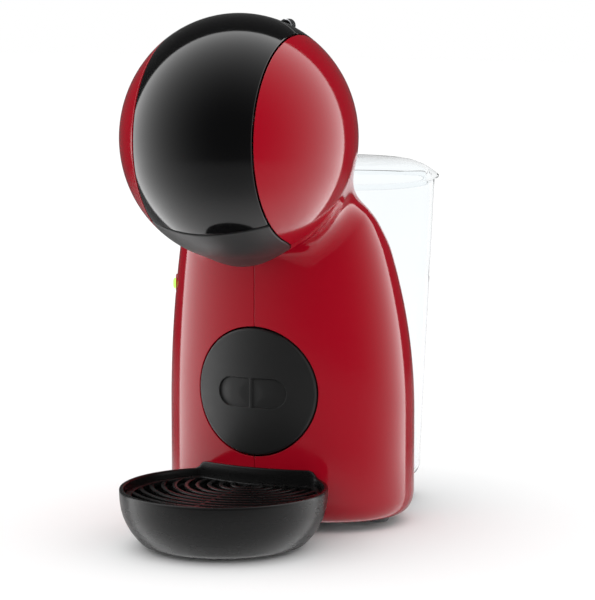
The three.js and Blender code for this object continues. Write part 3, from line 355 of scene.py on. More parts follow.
def placed(name, data):
    """Puts a mesh, a lamp or a lens into the scene, at the origin."""
    obj = bpy.data.objects.new(name, data)
    bpy.context.collection.objects.link(obj)
    return obj


def from_arrays(name, points, faces, normals=None, sharp=32):
    """A smooth mesh from arrays in millimetres, with given or recalculated normals."""
    mesh = bpy.data.meshes.new(name)
    mesh.from_pydata((np.asarray(points) * MM).tolist(), [], [list(map(int, f)) for f in faces])
    mesh.validate()
    mesh.polygons.foreach_set("use_smooth", [True] * len(mesh.polygons))
    if normals is not None and len(normals) == len(mesh.loops):
        mesh.normals_split_custom_set(np.asarray(normals).tolist())
    else:
        work = bmesh.new()
        work.from_mesh(mesh)
        bmesh.ops.remove_doubles(work, verts=work.verts, dist=1e-7)
        bmesh.ops.recalc_face_normals(work, faces=work.faces)
        work.to_mesh(mesh)
        work.free()
        mesh.polygons.foreach_set("use_smooth", [True] * len(mesh.polygons))
        mesh.set_sharp_from_angle(angle=math.radians(sharp))
    mesh.update()
    return placed(name, mesh)


def from_rings(name, rings, sharp=32, closed=False):
    """Joins rings of points, one after the other, into one closed skin."""
    rings = [np.asarray(r, float) for r in rings]
    width = len(rings[0])
    points = np.concatenate(rings)
    faces = []
    last = len(rings) if closed else len(rings) - 1
    for r in range(last):
        a, b = r * width, ((r + 1) % len(rings)) * width
        for i in range(width):
            j = (i + 1) % width
            faces.append((a + i, a + j, b + j, b + i))
    if not closed:
        for r, flip in ((0, True), (len(rings) - 1, False)):
            middle = len(points)
            points = np.concatenate([points, rings[r].mean(0)[None]])
            base = r * width
            for i in range(width):
                j = (i + 1) % width
                faces.append((base + j, base + i, middle) if flip else (base + i, base + j, middle))
    return from_arrays(name, points, faces, sharp=sharp)


def lathe(name, profile, centre, along=(0, 0, 1), sides=64, closed=False):
    """A turned piece: profile of (radius, height) from axis to axis, or closed on itself."""
    turn = np.array(Vector((0, 0, 1)).rotation_difference(Vector(along)).to_matrix())
    angle = np.linspace(0, 2 * math.pi, sides, endpoint=False)
    rings = []
    for radius, height in profile:
        ring = np.stack([radius * np.cos(angle), radius * np.sin(angle), np.full(sides, height)], 1)
        rings.append(ring @ turn.T + np.asarray(centre))
    return from_rings(name, rings, closed=closed)


# ------------------------------------------------------------------ finishes
def add_input(tree, label, value):
    """Adds an input of the kind that its starting value has, and returns its identifier."""
    kind = {int: "Int", float: "Float"}.get(type(value)) or ("Color" if len(value) == 4 else "Vector")
    socket = tree.interface.new_socket(label, in_out="INPUT", socket_type="NodeSocket" + kind)
    socket.default_value = value
    return socket.identifier


def group(name, inputs, outputs):
    tree = bpy.data.node_groups.new(name, "ShaderNodeTree")
    for label, value in inputs.items():
        add_input(tree, label, value)
    for label, kind in outputs:
        tree.interface.new_socket(label, in_out="OUTPUT", socket_type=kind)
    return tree, tree.nodes.new("NodeGroupInput"), tree.nodes.new("NodeGroupOutput")


def node(tree, kind, values=(), **settings):
    """Adds a node with its settings, and values for its inputs by name or number."""
    made = tree.nodes.new(kind)
    for key, value in settings.items():
        setattr(made, key, value)
    for label, value in dict(values).items():
        made.inputs[label].default_value = value
    return made


def math_node(tree, operation, a, b):
    made = node(tree, "ShaderNodeMath", operation=operation)
    for i, value in enumerate((a, b)):
        if isinstance(value, (int, float)):
            made.inputs[i].default_value = value
        else:
            tree.links.new(value, made.inputs[i])
    return made.outputs[0]


def build_skin_group():
    """Moulded skin: fine grain, slow waviness and faint wipe marks."""
    tree, inlet, outlet = group(
        "moulded_skin",
        {"Base": GREY, "Tint": GREY, "Grain Size": 900.0, "Grain Depth": 0.3, "Wave Depth": 0.1,
         "Roughness": 0.2, "Wipe": 0.05},
        [("Color", "NodeSocketColor"), ("Roughness", "NodeSocketFloat"), ("Height", "NodeSocketFloat")])
    link = tree.links.new
    place = node(tree, "ShaderNodeTexCoord").outputs["Object"]
    grain = node(tree, "ShaderNodeTexNoise", {"Detail": 3})
    wave = node(tree, "ShaderNodeTexNoise", {"Scale": 26, "Detail": 2})
    stretch = node(tree, "ShaderNodeMapping", {"Scale": (1, 1, 3.5), "Rotation": (0.4, 0.9, 0.2)})
    wipe = node(tree, "ShaderNodeTexNoise", {"Scale": 55, "Detail": 6})
    for made in (grain, wave, stretch):
        link(place, made.inputs["Vector"])
    link(stretch.outputs[0], wipe.inputs["Vector"])
    link(inlet.outputs["Grain Size"], grain.inputs["Scale"])
    height = math_node(tree, "ADD",
                       math_node(tree, "MULTIPLY", grain.outputs["Fac"], inlet.outputs["Grain Depth"]),
                       math_node(tree, "MULTIPLY", wave.outputs["Fac"], inlet.outputs["Wave Depth"]))
    marks = math_node(tree, "MULTIPLY",
                      math_node(tree, "SUBTRACT", wipe.outputs["Fac"], 0.45), inlet.outputs["Wipe"])
    rough = math_node(tree, "ADD", inlet.outputs["Roughness"], marks)
    mix = node(tree, "ShaderNodeMix", data_type="RGBA")
    link(wave.outputs["Fac"], mix.inputs["Factor"])
    link(inlet.outputs["Base"], mix.inputs[6])
    link(inlet.outputs["Tint"], mix.inputs[7])
    link(mix.outputs[2], outlet.inputs["Color"])
    link(rough, outlet.inputs["Roughness"])
    link(height, outlet.inputs["Height"])
    return tree


def build_dust_group():
    """A little dust that settles where a face looks up."""
    tree, inlet, outlet = group(
        "settled_dust",
        {"Color": GREY, "Dust": (0.6, 0.58, 0.55, 1), "Amount": 0.03},
        [("Color", "NodeSocketColor"), ("Mask", "NodeSocketFloat")])
    link = tree.links.new
    up = node(tree, "ShaderNodeSeparateXYZ")
    link(node(tree, "ShaderNodeNewGeometry").outputs["Normal"], up.inputs[0])
    speck = node(tree, "ShaderNodeTexNoise", {"Scale": 1400, "Detail": 4})
    link(node(tree, "ShaderNodeTexCoord").outputs["Object"], speck.inputs["Vector"])
    dots = node(tree, "ShaderNodeMapRange", {"From Min": 0.6, "From Max": 0.75})
    link(speck.outputs["Fac"], dots.inputs["Value"])
    top = math_node(tree, "MAXIMUM", up.outputs["Z"], 0.0)
    mask = math_node(tree, "MULTIPLY", math_node(tree, "MULTIPLY", dots.outputs[0], top),
                     inlet.outputs["Amount"])
    mix = node(tree, "ShaderNodeMix", data_type="RGBA")
    link(mask, mix.inputs["Factor"])
    link(inlet.outputs["Color"], mix.inputs[6])
    link(inlet.outputs["Dust"], mix.inputs[7])
    link(mix.outputs[2], outlet.inputs["Color"])
    link(mask, outlet.inputs["Mask"])
    return tree


SKIN = build_skin_group()
DUST = build_dust_group()


def moulded_finish(name, base, tint, roughness, grain=1500, grain_depth=1.0, wave=0.2, wipe=0.1,
                   bump=0.00003, dust=0.02, **fixed):
    """A procedural finish: colour and tint, roughness, relief, dust, then fixed shader sockets."""
    material = bpy.data.materials.new(name)
    material.use_nodes = True
    tree = material.node_tree
    link = tree.links.new
    shader = tree.nodes["Principled BSDF"]
    skin = node(tree, "ShaderNodeGroup", {
        "Base": (*base, 1), "Tint": (*tint, 1), "Roughness": roughness, "Grain Size": grain,
        "Grain Depth": grain_depth, "Wave Depth": wave, "Wipe": wipe}, node_tree=SKIN)
    speck = node(tree, "ShaderNodeGroup", {"Amount": dust}, node_tree=DUST)
    relief = node(tree, "ShaderNodeBump", {"Strength": 0.6, "Distance": bump})
    link(skin.outputs["Color"], speck.inputs["Color"])
    link(speck.outputs["Color"], shader.inputs["Base Color"])
    link(skin.outputs["Roughness"], shader.inputs["Roughness"])
    link(skin.outputs["Height"], relief.inputs["Height"])
    link(relief.outputs["Normal"], shader.inputs["Normal"])
    for label, value in fixed.items():
        shader.inputs[label.replace("_", " ")].default_value = value
    return material


RED = moulded_finish(
    "glossy_red_plastic", (0.345, 0.0026, 0.0125), (0.325, 0.0022, 0.0115), 0.085, grain=500,
    grain_depth=0.15, wave=0.3, wipe=0.04, bump=1e-05, dust=0.004)
BLACK = moulded_finish(
    "glossy_black_plastic", (0.0028, 0.0028, 0.003), (0.0042, 0.0042, 0.0044), 0.08, grain=500,
    grain_depth=0.15, wave=0.3, wipe=0.04, bump=1e-05, dust=0.004)
MATT = moulded_finish(
    "matt_black_plastic", (0.0095, 0.0097, 0.0097), (0.0125, 0.0127, 0.0127), 0.5, grain=2600,
    wave=0.05, wipe=0.12, bump=5e-05, dust=0.05)
SATIN = moulded_finish(
    "satin_black_plastic", (0.0045, 0.0045, 0.0045), (0.0065, 0.0065, 0.0065), 0.26, grain=1800,
    grain_depth=0.5, wave=0.12, wipe=0.14, dust=0.03, Specular_IOR_Level=0.32)
# CHIN is black plastic with a lighter grey base colour that paints in the reflection of the white floor on
# the holder's underside.
CHIN = moulded_finish(
    "black_plastic_painted_floor_reflection", (0.034, 0.034, 0.034), (0.042, 0.042, 0.042), 0.36, grain=2200,
    grain_depth=0.6, wave=0.1, Specular_IOR_Level=0.25)
INNER = moulded_finish(
    "dark_inner_plastic", (0.035, 0.036, 0.039), (0.045, 0.046, 0.05), 0.45, grain_depth=0.6, wave=0.1,
    bump=4e-05, dust=0.08)
RUBBER = moulded_finish(
    "grey_rubber", (0.13, 0.132, 0.135), (0.16, 0.162, 0.166), 0.75, grain=3200, bump=6e-05, dust=0.2)
BLACK_RUBBER = moulded_finish(
    "black_rubber", (0.012, 0.012, 0.012), (0.02, 0.02, 0.02), 0.7, grain=3200, bump=6e-05, dust=0.1)
STEEL = moulded_finish(
    "drawn_steel", (0.55, 0.55, 0.56), (0.47, 0.47, 0.48), 0.28, grain=2200, grain_depth=0.5, wipe=0.16,
    bump=2e-05, dust=0.0, Metallic=1.0)
RING = moulded_finish(
    "bright_ring", (0.72, 0.73, 0.75), (0.62, 0.63, 0.65), 0.1, grain=900, grain_depth=0.1, wave=0.1,
    wipe=0.08, bump=1e-05, dust=0.0, Metallic=1.0)
BRASS = moulded_finish(
    "turned_brass", (0.55, 0.38, 0.15), (0.42, 0.28, 0.11), 0.3, grain_depth=0.5, wave=0.4, wipe=0.2,
    dust=0.0, Metallic=1.0)
CAST = moulded_finish(
    "cast_aluminium", (0.42, 0.425, 0.43), (0.33, 0.335, 0.34), 0.5, grain=1100, wave=0.4, wipe=0.2,
    bump=0.00012, Metallic=1.0)
SILICONE = moulded_finish(
    "milky_silicone", (0.62, 0.58, 0.5), (0.7, 0.67, 0.6), 0.45, grain=1400, grain_depth=0.3, wave=0.3,
    bump=2e-05, dust=0.05)
WINDING = moulded_finish(
    "taped_winding", (0.16, 0.07, 0.03), (0.24, 0.11, 0.05), 0.5, grain=700, wave=0.8, wipe=0.2,
    bump=0.0001)
BOARD = moulded_finish(
    "circuit_board", (0.015, 0.09, 0.035), (0.03, 0.14, 0.06), 0.35, grain=900, wipe=0.2, bump=5e-05)
PALE = moulded_finish(
    "pale_plastic", (0.52, 0.48, 0.4), (0.6, 0.56, 0.48), 0.4, grain_depth=0.5, dust=0.03)
CLEAR = moulded_finish(
    "clear_plastic", (0.96, 0.975, 0.98), (0.93, 0.95, 0.96), 0.03, grain=300, grain_depth=0.05,
    wave=0.4, wipe=0.03, bump=1e-05, dust=0.0, Transmission_Weight=1.0, IOR=1.03)
LIT = moulded_finish(
    "lit_green_lens", (0.25, 0.75, 0.08), (0.4, 0.9, 0.15), 0.2, grain=600, grain_depth=0.3, wave=0.3,
    wipe=0.05, bump=2e-05, dust=0.0, Emission_Strength=1.5)
LIT.node_tree.nodes["Principled BSDF"].inputs["Emission Color"].default_value = (0.26, 0.9, 0.08, 1)


# ------------------------------------------------------------------ red shells
def band_field(p):
    """Above zero inside the black band's room between the red sides."""
    x = np.abs(p[:, 0])
    width = np.clip(x, 0, BAND_HALF)
    round_ball = HEAD[2] - HEAD_HALF[2] * np.sqrt(1 - (width / HEAD_HALF[0]) ** 2)
    share = np.minimum(1, width / BELLY_HALF[0])
    belly = BELLY[2] - BELLY_HALF[2] * np.sqrt(1 - share**2)
    front_low = np.minimum(round_ball, belly) - 0.5
    low = np.where(p[:, 1] < 0, front_low, BAND_REAR)
    under = (p[:, 1] < 0) & (p[:, 2] < HEAD[2])
    return np.minimum(BAND_HALF - np.where(under, from_bay(p), x), p[:, 2] - low)


def button_place():
    low, high = node_box("power_button")
    half_x, half_y, y = body_plan(np.array([(low[2] + high[2]) / 2]))
    share = abs(BUTTON_Y - y[0]) / half_y[0]
    x = -half_x[0] * (1 - share**SQUARENESS) ** (1 / SQUARENESS)
    at = np.array([x, BUTTON_Y, (low[2] + high[2]) / 2])
    out = unit(slope(trunk, at[None]))[0]
    out[2] = 0
    return at, out / np.linalg.norm(out)


BAND_REAR = node_box("rear_cover")[0][2] - 0.3
BUTTON_AT, BUTTON_OUT = button_place()


def button_field(p):
    d = p - BUTTON_AT
    along = d @ BUTTON_OUT
    radial = np.linalg.norm(d - along[:, None] * BUTTON_OUT, axis=1)
    return np.where(np.abs(along) < 15, BUTTON_HOLE - radial, OFF)


def shell_field(side):
    def field(p):
        parts = [
            side * p[:, 0] + 0.1,
            p[:, 1] - REAR_SPLIT,
            BODY_LOW - p[:, 2],
            band_field(p),
            np.where(p[:, 1] < 0, DISC_RADIUS + 0.75 - np.hypot(p[:, 0], p[:, 2] - DISC_Z), OFF),
        ]
        if side > 0:
            parts.append(button_field(p))
        return np.max(parts, axis=0)
    return field


def red_shells():
    net = wrap(outside, (-72, -120, 1), (72, 66, 282), 1.6)
    for side, name in ((1, "left"), (-1, "right")):
        obj = from_arrays(f"red_{name}_shell", *moulded(outside, net, shell_field(side), edge=0.35))
        finish_piece(obj, "machine", RED, [f"{name}_shell"])
    low, high = node_box("rear_panel")

    def panel(p):
        half = np.abs(p[:, 0])
        foot = np.where(p[:, 2] < 15, FOOT_GATE[0] - half, OFF)
        gland = GLAND_HOLE - np.linalg.norm(p - GLAND, axis=1)
        return np.max([low[1] - p[:, 1], p[:, 2] - high[2], BODY_LOW - p[:, 2], gland,
                       np.minimum(foot, FOOT_GATE[1] - p[:, 2])], axis=0)

    finish_piece(from_arrays("back_panel", *moulded(outside, net, panel, edge=0.4)),
                 "machine", MATT, ["rear_panel"])

    def cover(p):
        radius = np.hypot(p[:, 1] - AXIS[1], p[:, 2] - AXIS[2])
        slot = np.min([LEVER_SLOT[0] - np.abs(p[:, 0]), LEVER_SLOT[1] - np.abs(p[:, 1] - LEVER_Y),
                       p[:, 2] - (TOP - 25)], axis=0)
        front = np.minimum(-31 - p[:, 1], HEAD[2] - p[:, 2])
        fixed = np.minimum(radius - EDGE_RADIUS + 0.3, AXIS[1] - p[:, 1])
        return np.max([np.abs(p[:, 0]) - COVER_HALF, BAND_REAR + 0.3 - p[:, 2], slot, front, fixed],
                      axis=0)

    finish_piece(from_arrays("back_cover", *moulded(outside, net, cover, edge=0.5)),
                 "machine", BLACK, ["rear_cover"])


gland_low, gland_high = node_box("cord_gland")
GLAND = (gland_low + gland_high) / 2


def visor_edge(p):
    """Height of the handle's lower edge, which rises towards its sides."""
    return VISOR_LOW + VISOR_RISE * (p[:, 0] / BAND_HALF) ** 2


def handle_and_chin():
    net = wrap(ball, (-64, -120, 147), (64, 18, 281), 2.0)

    def visor(p):
        radius = np.hypot(p[:, 1] - AXIS[1], p[:, 2] - AXIS[2])
        under = np.minimum(p[:, 1] - HEAD[1], HEAD[2] - p[:, 2])
        return np.max([np.abs(p[:, 0]) - COVER_HALF, visor_edge(p) - p[:, 2], EDGE_RADIUS + 0.3 - radius,
                       p[:, 1] + 24, under], axis=0)

    obj = from_arrays("brewing_handle_cover", *moulded(ball, net, visor, edge=0.7))
    finish_piece(obj, "handle", BLACK, ["handle_cover"])
    chin_net = wrap(chin, (-64, -120, 142), (64, 18, 200), 1.6)

    def chin_field(p):
        top = p[:, 2] - visor_edge(p) + 0.45
        return np.max([from_bay(p) - COVER_HALF, top, p[:, 1] - BODY_FRONT + 0.6], axis=0)

    obj = from_arrays("capsule_holder_chin", *moulded(chin, chin_net, chin_field, thick=2.0, edge=0.6))
    # The chin's lighter grey is a painted reflection of the floor, not the plastic's own colour.
    finish_piece(obj, "holder", CHIN)
    holder_deck()


def filled_plate(name, outline, holes, low, high):
    """A flat plate with holes, from closed outlines of (x, y) points."""
    work = bmesh.new()
    for loop in [outline] + holes:
        verts = [work.verts.new((x * MM, y * MM, low * MM)) for x, y in loop]
        for i, vert in enumerate(verts):
            work.edges.new((vert, verts[(i + 1) % len(verts)]))
    bmesh.ops.triangle_fill(work, edges=list(work.edges), use_beauty=True)
    top = bmesh.ops.extrude_face_region(work, geom=list(work.faces))
    moved = [g for g in top["geom"] if isinstance(g, bmesh.types.BMVert)]
    bmesh.ops.translate(work, verts=moved, vec=(0, 0, (high - low) * MM))
    bmesh.ops.recalc_face_normals(work, faces=work.faces)
    mesh = bpy.data.meshes.new(name)
    work.to_mesh(mesh)
    work.free()
    return placed(name, mesh)


def holder_deck():
    """The deck, cup and runners behind the chin."""
    z = HOLDER_TOP - 0.3
    thick = 3.6
    scale = math.sqrt(1 - ((HEAD[2] - z + thick) / HEAD_HALF[2]) ** 2)
    half_x, half_y = HEAD_HALF[0] * scale - 2.6, HEAD_HALF[1] * scale - 2.6
    outline = []
    for a in np.linspace(math.pi, 2 * math.pi, 49):
        outline.append((np.clip(half_x * math.cos(a), -31.6, 31.6), HEAD[1] + half_y * math.sin(a)))
    outline = [q for i, q in enumerate(outline) if i == 0 or math.dist(q, outline[i - 1]) > 0.4]
    right = [(RUNNER_OUT, -50.0), (RUNNER_OUT, RUNNER_END), (RUNNER_IN, RUNNER_END), (RUNNER_IN, -27.6)]
    outline += right + [(-x, y) for x, y in reversed(right)]
    hole = [(25.6 * math.cos(a), CAPSULE_Y + 25.6 * math.sin(a) * 0.96)
            for a in np.linspace(0, 2 * math.pi, 64, endpoint=False)]
    finish_piece(filled_plate("capsule_holder_deck", outline, [hole], z - thick, z),
                 "holder", SATIN, ["capsule_holder"])
    floor = HEAD[2] - HEAD_HALF[2] + 3
    profile = [(2, floor - 1.4), (13.6, floor - 1.4), (25.4, z - 3.4), (26.6, z - 0.9), (26.4, z),
               (25.3, z + 0.2), (24.9, z - 0.5), (24.4, z - 3), (13, floor), (2, floor)]
    cup = lathe("capsule_cup", profile, (0, CAPSULE_Y, 0), sides=72, closed=True)
    finish_piece(cup, "holder", SATIN)


# ------------------------------------------------------------------ front disc
def front_disc():
    """A domed disc, bent back with the body, with two shallow half-round pads let into it."""
    face = node_box("front_disc")[0][1] + 0.05
    bend, dome = 0.0043, 4.0
    half = (PAD_SPAN - PAD_HEIGHT) / 2

    def height(x, z):
        r = np.hypot(x, z)
        return face + dome * (r / DISC_RADIUS) ** 2 + bend * x**2

    def pad(p):
        x, z = p[:, 0], p[:, 2] - DISC_Z
        stadium = np.hypot(np.maximum(np.abs(x) - half, 0), z) - PAD_HEIGHT / 2
        return np.maximum(stadium, 0.75 - np.abs(x))

    def rim(p):
        return np.hypot(p[:, 0], p[:, 2] - DISC_Z) - DISC_RADIUS

    step = 1.0
    axis = np.arange(-36, 36.5, step)
    gx, gz = np.meshgrid(axis, axis, indexing="ij")
    points = np.stack([gx.ravel(), np.zeros(gx.size), gz.ravel() + DISC_Z], 1)
    n = len(axis)
    index = np.arange(n * n).reshape(n, n)
    a, b = index[:-1, :-1].ravel(), index[1:, :-1].ravel()
    c, d = index[1:, 1:].ravel(), index[:-1, 1:].ravel()
    tris = np.concatenate([np.stack([a, b, c], 1), np.stack([a, c, d], 1)])
    points, tris = cut(points, tris, rim)
    for level in (0.35, 0.12, -0.12, -0.35, -1.6, -4.2):
        points, tris = cut(points, tris, lambda p: pad(p) - level, keep_all=True)
    for level in (0.2, 0.6, 1.2):
        points, tris = cut(points, tris, lambda p: rim(p) + level, keep_all=True)
    x, z = points[:, 0], points[:, 2] - DISC_Z
    y = height(x, z)
    inside = -pad(points)
    y += 1.15 * ease(-0.25, 0.25, inside) - 0.5 * ease(0.3, 7.0, inside)
    lean = np.clip(1 + rim(points) / 1.2, 0, 1)
    y += 1.2 * (1 - np.sqrt(np.maximum(0, 1 - lean**2)))
    front = np.stack([x, y, points[:, 2]], 1)
    back = np.stack([x, height(x, z) + 3.4, points[:, 2]], 1)
    count = len(points)
    faces = np.concatenate([tris, tris[:, ::-1] + count, rim_wall(tris, count)])
    obj = from_arrays("front_disc_pad", np.concatenate([front, back]), faces, sharp=40)
    finish_piece(obj, "machine", MATT, ["front_disc"])


# ------------------------------------------------------------------ outlines seen from above
AROUND = 240
ANGLES = np.linspace(0, 2 * math.pi, AROUND, endpoint=False)
RAYS = np.stack([np.cos(ANGLES), np.sin(ANGLES)], 1)


def reach(centre, field, z, limit=90):
    """How far each ray from a centre goes before it leaves the field."""
    span = np.arange(0, limit, 0.5)
    grid = centre + RAYS[:, None, :] * span[None, :, None]
    p = np.concatenate([grid.reshape(-1, 2), np.full((grid.shape[0] * grid.shape[1], 1), z)], 1)
    out = (field(p) > 0).reshape(len(RAYS), len(span))
    first = np.maximum(out.argmax(1), 1)
    low, high = span[first - 1], span[first]
    for _ in range(12):
        mid = (low + high) / 2
        q = np.concatenate([centre + RAYS * mid[:, None], np.full((len(RAYS), 1), z)], 1)
        leaves = field(q) > 0
        low, high = np.where(leaves, low, mid), np.where(leaves, mid, high)
    return (low + high) / 2


def ring_at(centre, radius, z):
    flat = centre + RAYS * np.asarray(radius)[:, None]
    return np.concatenate([flat, np.broadcast_to(np.asarray(z, float), (len(RAYS),))[:, None]], 1)


def soften(radius, passes):
    for _ in range(passes):
        radius = 0.5 * radius + 0.25 * (np.roll(radius, 1) + np.roll(radius, -1))
    return radius


def tray_outline():
    wall = lambda p: np.maximum(np.hypot(p[:, 0], p[:, 1] - TRAY[1]) - TRAY_RADIUS, 0.8 - trunk(p))
    circle = lambda p: np.hypot(p[:, 0], p[:, 1] - TRAY[1]) - TRAY_RADIUS
    full = reach(TRAY, circle, 30.0)
    cutaway = reach(TRAY, wall, 30.0)
    return soften(cutaway, 3), ease(0.2, 3.0, soften(full - cutaway, 6))


def drip_tray():
    rim, back = tray_outline()
    depth = TRAY_RIM - TRAY_LOW

    def bowl(z):
        share = np.clip((z - TRAY_LOW) / depth, 0, 1)
        return rim - 12 * (1 - share) ** 2.6 * (1 - 0.9 * back)

    rise = 4.0 * back
    rings = [ring_at(TRAY, bowl(TRAY_LOW) * f, TRAY_LOW) for f in (0.06, 0.35, 0.7)]
    rings.append(ring_at(TRAY, bowl(TRAY_LOW) - 1.6, TRAY_LOW))
    rings.append(ring_at(TRAY, bowl(TRAY_LOW) - 0.5, TRAY_LOW + 0.2))
    for z in (TRAY_LOW + 0.9, TRAY_LOW + 2.5, 7, 10, 13.5, 17, 20.5, 24, 27.5, 30.0):
        rings.append(ring_at(TRAY, bowl(z), z))
    for inset, drop in ((0.0, 0.9), (0.25, 0.3), (0.8, 0.0), (1.6, 0.0), (2.15, 0.3), (2.4, 0.9)):
        rings.append(ring_at(TRAY, rim - inset, TRAY_RIM - drop + rise))
    rings.append(ring_at(TRAY, rim - 2.45, TRAY_RIM - 3.0 + rise * 0.6))
    for z, inset in ((25.6, 2.5), (25.05, 2.7), (25, 5.2), (24.6, 5.6), (18, 6.2), (12, 8.2),
                     (8, 11), (6, 14), (4.9, 18), (4.6, 24)):
        rings.append(ring_at(TRAY, rim - inset, z))
    rings.append(ring_at(TRAY, (rim - 24) * 0.4, 4.6))
    finish_piece(from_rings("drip_tray_bowl", rings, sharp=50),
                 "tray", SATIN, ["drip_tray"])
    return rim


def slat_tree(material):
    """Arcs of slats about one centre, kept where they lie inside the frame."""
    tree = bpy.data.node_groups.new("grid_slats", "GeometryNodeTree")
    face = tree.interface
    face.new_socket("Outline", in_out="INPUT", socket_type="NodeSocketGeometry")
    start = {"Count": 12, "First Radius": 0.01, "Pitch": 0.006, "Centre": (0, 0, 0), "Width": 0.002,
             "Thickness": 0.002, "Tray Centre": (0, 0, 0), "Limit": 0.05, "Back Limit": 0.0}
    inputs = {label: add_input(tree, label, value) for label, value in start.items()}
    face.new_socket("Slats", in_out="OUTPUT", socket_type="NodeSocketGeometry")
    inlet, outlet = tree.nodes.new("NodeGroupInput"), tree.nodes.new("NodeGroupOutput")
    link = tree.links.new
    circle = node(tree, "GeometryNodeCurvePrimitiveCircle", {"Resolution": 160, "Radius": 1})
    spots = node(tree, "GeometryNodeMeshLine", {"Offset": (0, 0, 0)})
    link(inlet.outputs["Count"], spots.inputs["Count"])
    moved = node(tree, "GeometryNodeSetPosition")
    link(spots.outputs[0], moved.inputs["Geometry"])
    link(inlet.outputs["Centre"], moved.inputs["Position"])
    index = node(tree, "GeometryNodeInputIndex")
    size = math_node(tree, "ADD", inlet.outputs["First Radius"],
                     math_node(tree, "MULTIPLY", index.outputs[0], inlet.outputs["Pitch"]))
    scale = node(tree, "ShaderNodeCombineXYZ", {"Z": 1})
    for i in (0, 1):
        link(size, scale.inputs[i])
    copies = node(tree, "GeometryNodeInstanceOnPoints")
    link(moved.outputs[0], copies.inputs["Points"])
    link(circle.outputs[0], copies.inputs["Instance"])
    link(scale.outputs[0], copies.inputs["Scale"])
    real = node(tree, "GeometryNodeRealizeInstances")
    link(copies.outputs[0], real.inputs[0])
    wires = node(tree, "GeometryNodeCurveToMesh")
    link(real.outputs[0], wires.inputs["Curve"])
    place = node(tree, "GeometryNodeInputPosition")
    away = node(tree, "ShaderNodeVectorMath", operation="DISTANCE")
    link(place.outputs[0], away.inputs[0])
    link(inlet.outputs["Tray Centre"], away.inputs[1])
    split = node(tree, "ShaderNodeSeparateXYZ")
    link(place.outputs[0], split.inputs[0])
    curve_back = math_node(tree, "MULTIPLY", math_node(tree, "POWER", math_node(
        tree, "ABSOLUTE", split.outputs["X"], 0.0), 2.2), 9.0)
    too_far = math_node(tree, "GREATER_THAN", away.outputs["Value"], inlet.outputs["Limit"])
    too_near = math_node(tree, "GREATER_THAN",
                         math_node(tree, "SUBTRACT", split.outputs["Y"], curve_back),
                         inlet.outputs["Back Limit"])
    lost = node(tree, "FunctionNodeBooleanMath", operation="OR")
    link(too_far, lost.inputs[0])
    link(too_near, lost.inputs[1])
    keep = node(tree, "GeometryNodeDeleteGeometry", domain="POINT")
    link(wires.outputs[0], keep.inputs["Geometry"])
    link(lost.outputs[0], keep.inputs["Selection"])
    arcs = node(tree, "GeometryNodeMeshToCurve")
    link(keep.outputs[0], arcs.inputs[0])
    upright = node(tree, "GeometryNodeSetCurveNormal", mode="Z_UP")
    link(arcs.outputs[0], upright.inputs[0])
    bar_shape = node(tree, "GeometryNodeCurvePrimitiveQuadrilateral")
    link(inlet.outputs["Width"], bar_shape.inputs["Width"])
    link(inlet.outputs["Thickness"], bar_shape.inputs["Height"])
    eased = node(tree, "GeometryNodeFilletCurve", {"Count": 2, "Radius": 0.0005}, mode="POLY")
    link(bar_shape.outputs[0], eased.inputs["Curve"])
    bars = node(tree, "GeometryNodeCurveToMesh", {"Fill Caps": True})
    link(upright.outputs[0], bars.inputs["Curve"])
    link(eased.outputs[0], bars.inputs["Profile Curve"])
    last = node(tree, "GeometryNodeRealizeInstances")
    link(bars.outputs[0], last.inputs[0])
    dress = node(tree, "GeometryNodeSetMaterial", {"Material": material})
    link(last.outputs[0], dress.inputs["Geometry"])
    link(dress.outputs[0], outlet.inputs[0])
    return tree, inputs


def grown(name, tree, inputs, values):
    """Runs a tree with its sizes set and returns the result as a plain mesh object."""
    holder = placed("grow_" + name, bpy.data.meshes.new("grow_" + name))
    modifier = holder.modifiers.new("grow", "NODES")
    modifier.node_group = tree
    for label, value in values.items():
        modifier[inputs[label]] = value
    graph = bpy.context.evaluated_depsgraph_get()
    mesh = bpy.data.meshes.new_from_object(holder.evaluated_get(graph))
    mesh.name = name
    holder.modifiers.remove(modifier)
    bpy.data.objects.remove(holder)
    mesh.polygons.foreach_set("use_smooth", [True] * len(mesh.polygons))
    mesh.set_sharp_from_angle(angle=math.radians(35))
    return placed(name, mesh)


def drip_grid(rim):
    low, high = node_box("drip_grid")
    inner, outer = rim - 6.4, rim - 2.95
    z0, z1 = low[2], high[2]
    rings = [ring_at(TRAY, r, z) for r, z in (
        (outer, z0), (outer, z1 - 0.5), (outer - 0.15, z1 - 0.15), (outer - 0.5, z1), (inner + 0.5, z1),
        (inner + 0.15, z1 - 0.15), (inner, z1 - 0.5), (inner, z0))]
    finish_piece(from_rings("drip_grid_frame", rings, sharp=50, closed=True),
                 "grid", SATIN, ["drip_grid"])
    tree, inputs = slat_tree(SATIN)
    middle = (z0 + z1) / 2 * MM
    slats = grown("drip_grid_slats", tree, inputs, {
        "Count": 14, "First Radius": 0.0085, "Pitch": 0.0062, "Centre": (0, (TRAY[1] + 30) * MM, middle),
        "Width": 0.0026, "Thickness": (z1 - z0 - 0.3) * MM, "Tray Centre": (0, TRAY[1] * MM, middle),
        "Limit": (TRAY_RADIUS - 4.6) * MM, "Back Limit": (BODY_FRONT - 5.4) * MM})
    finish_piece(slats, "grid", SATIN)
    front_y, back_y = TRAY[1] - TRAY_RADIUS + 4.6, BODY_FRONT - 5.4
    corners = [(-1.1, front_y), (1.1, front_y), (1.1, back_y), (-1.1, back_y)]
    finish_piece(filled_plate("drip_grid_spine", corners, [], z0 + 0.2, z1 - 0.5),
                 "grid", SATIN)


# ------------------------------------------------------------------ tank and lid
def oval(p, half_x, half_y, centre):
    a = np.abs(p[:, 0] - centre[0]) / half_x
    b = np.abs(p[:, 1] - centre[1]) / half_y
    return ((a**SQUARENESS + b**SQUARENESS) ** (1 / SQUARENESS) - 1) * np.minimum(half_x, half_y)


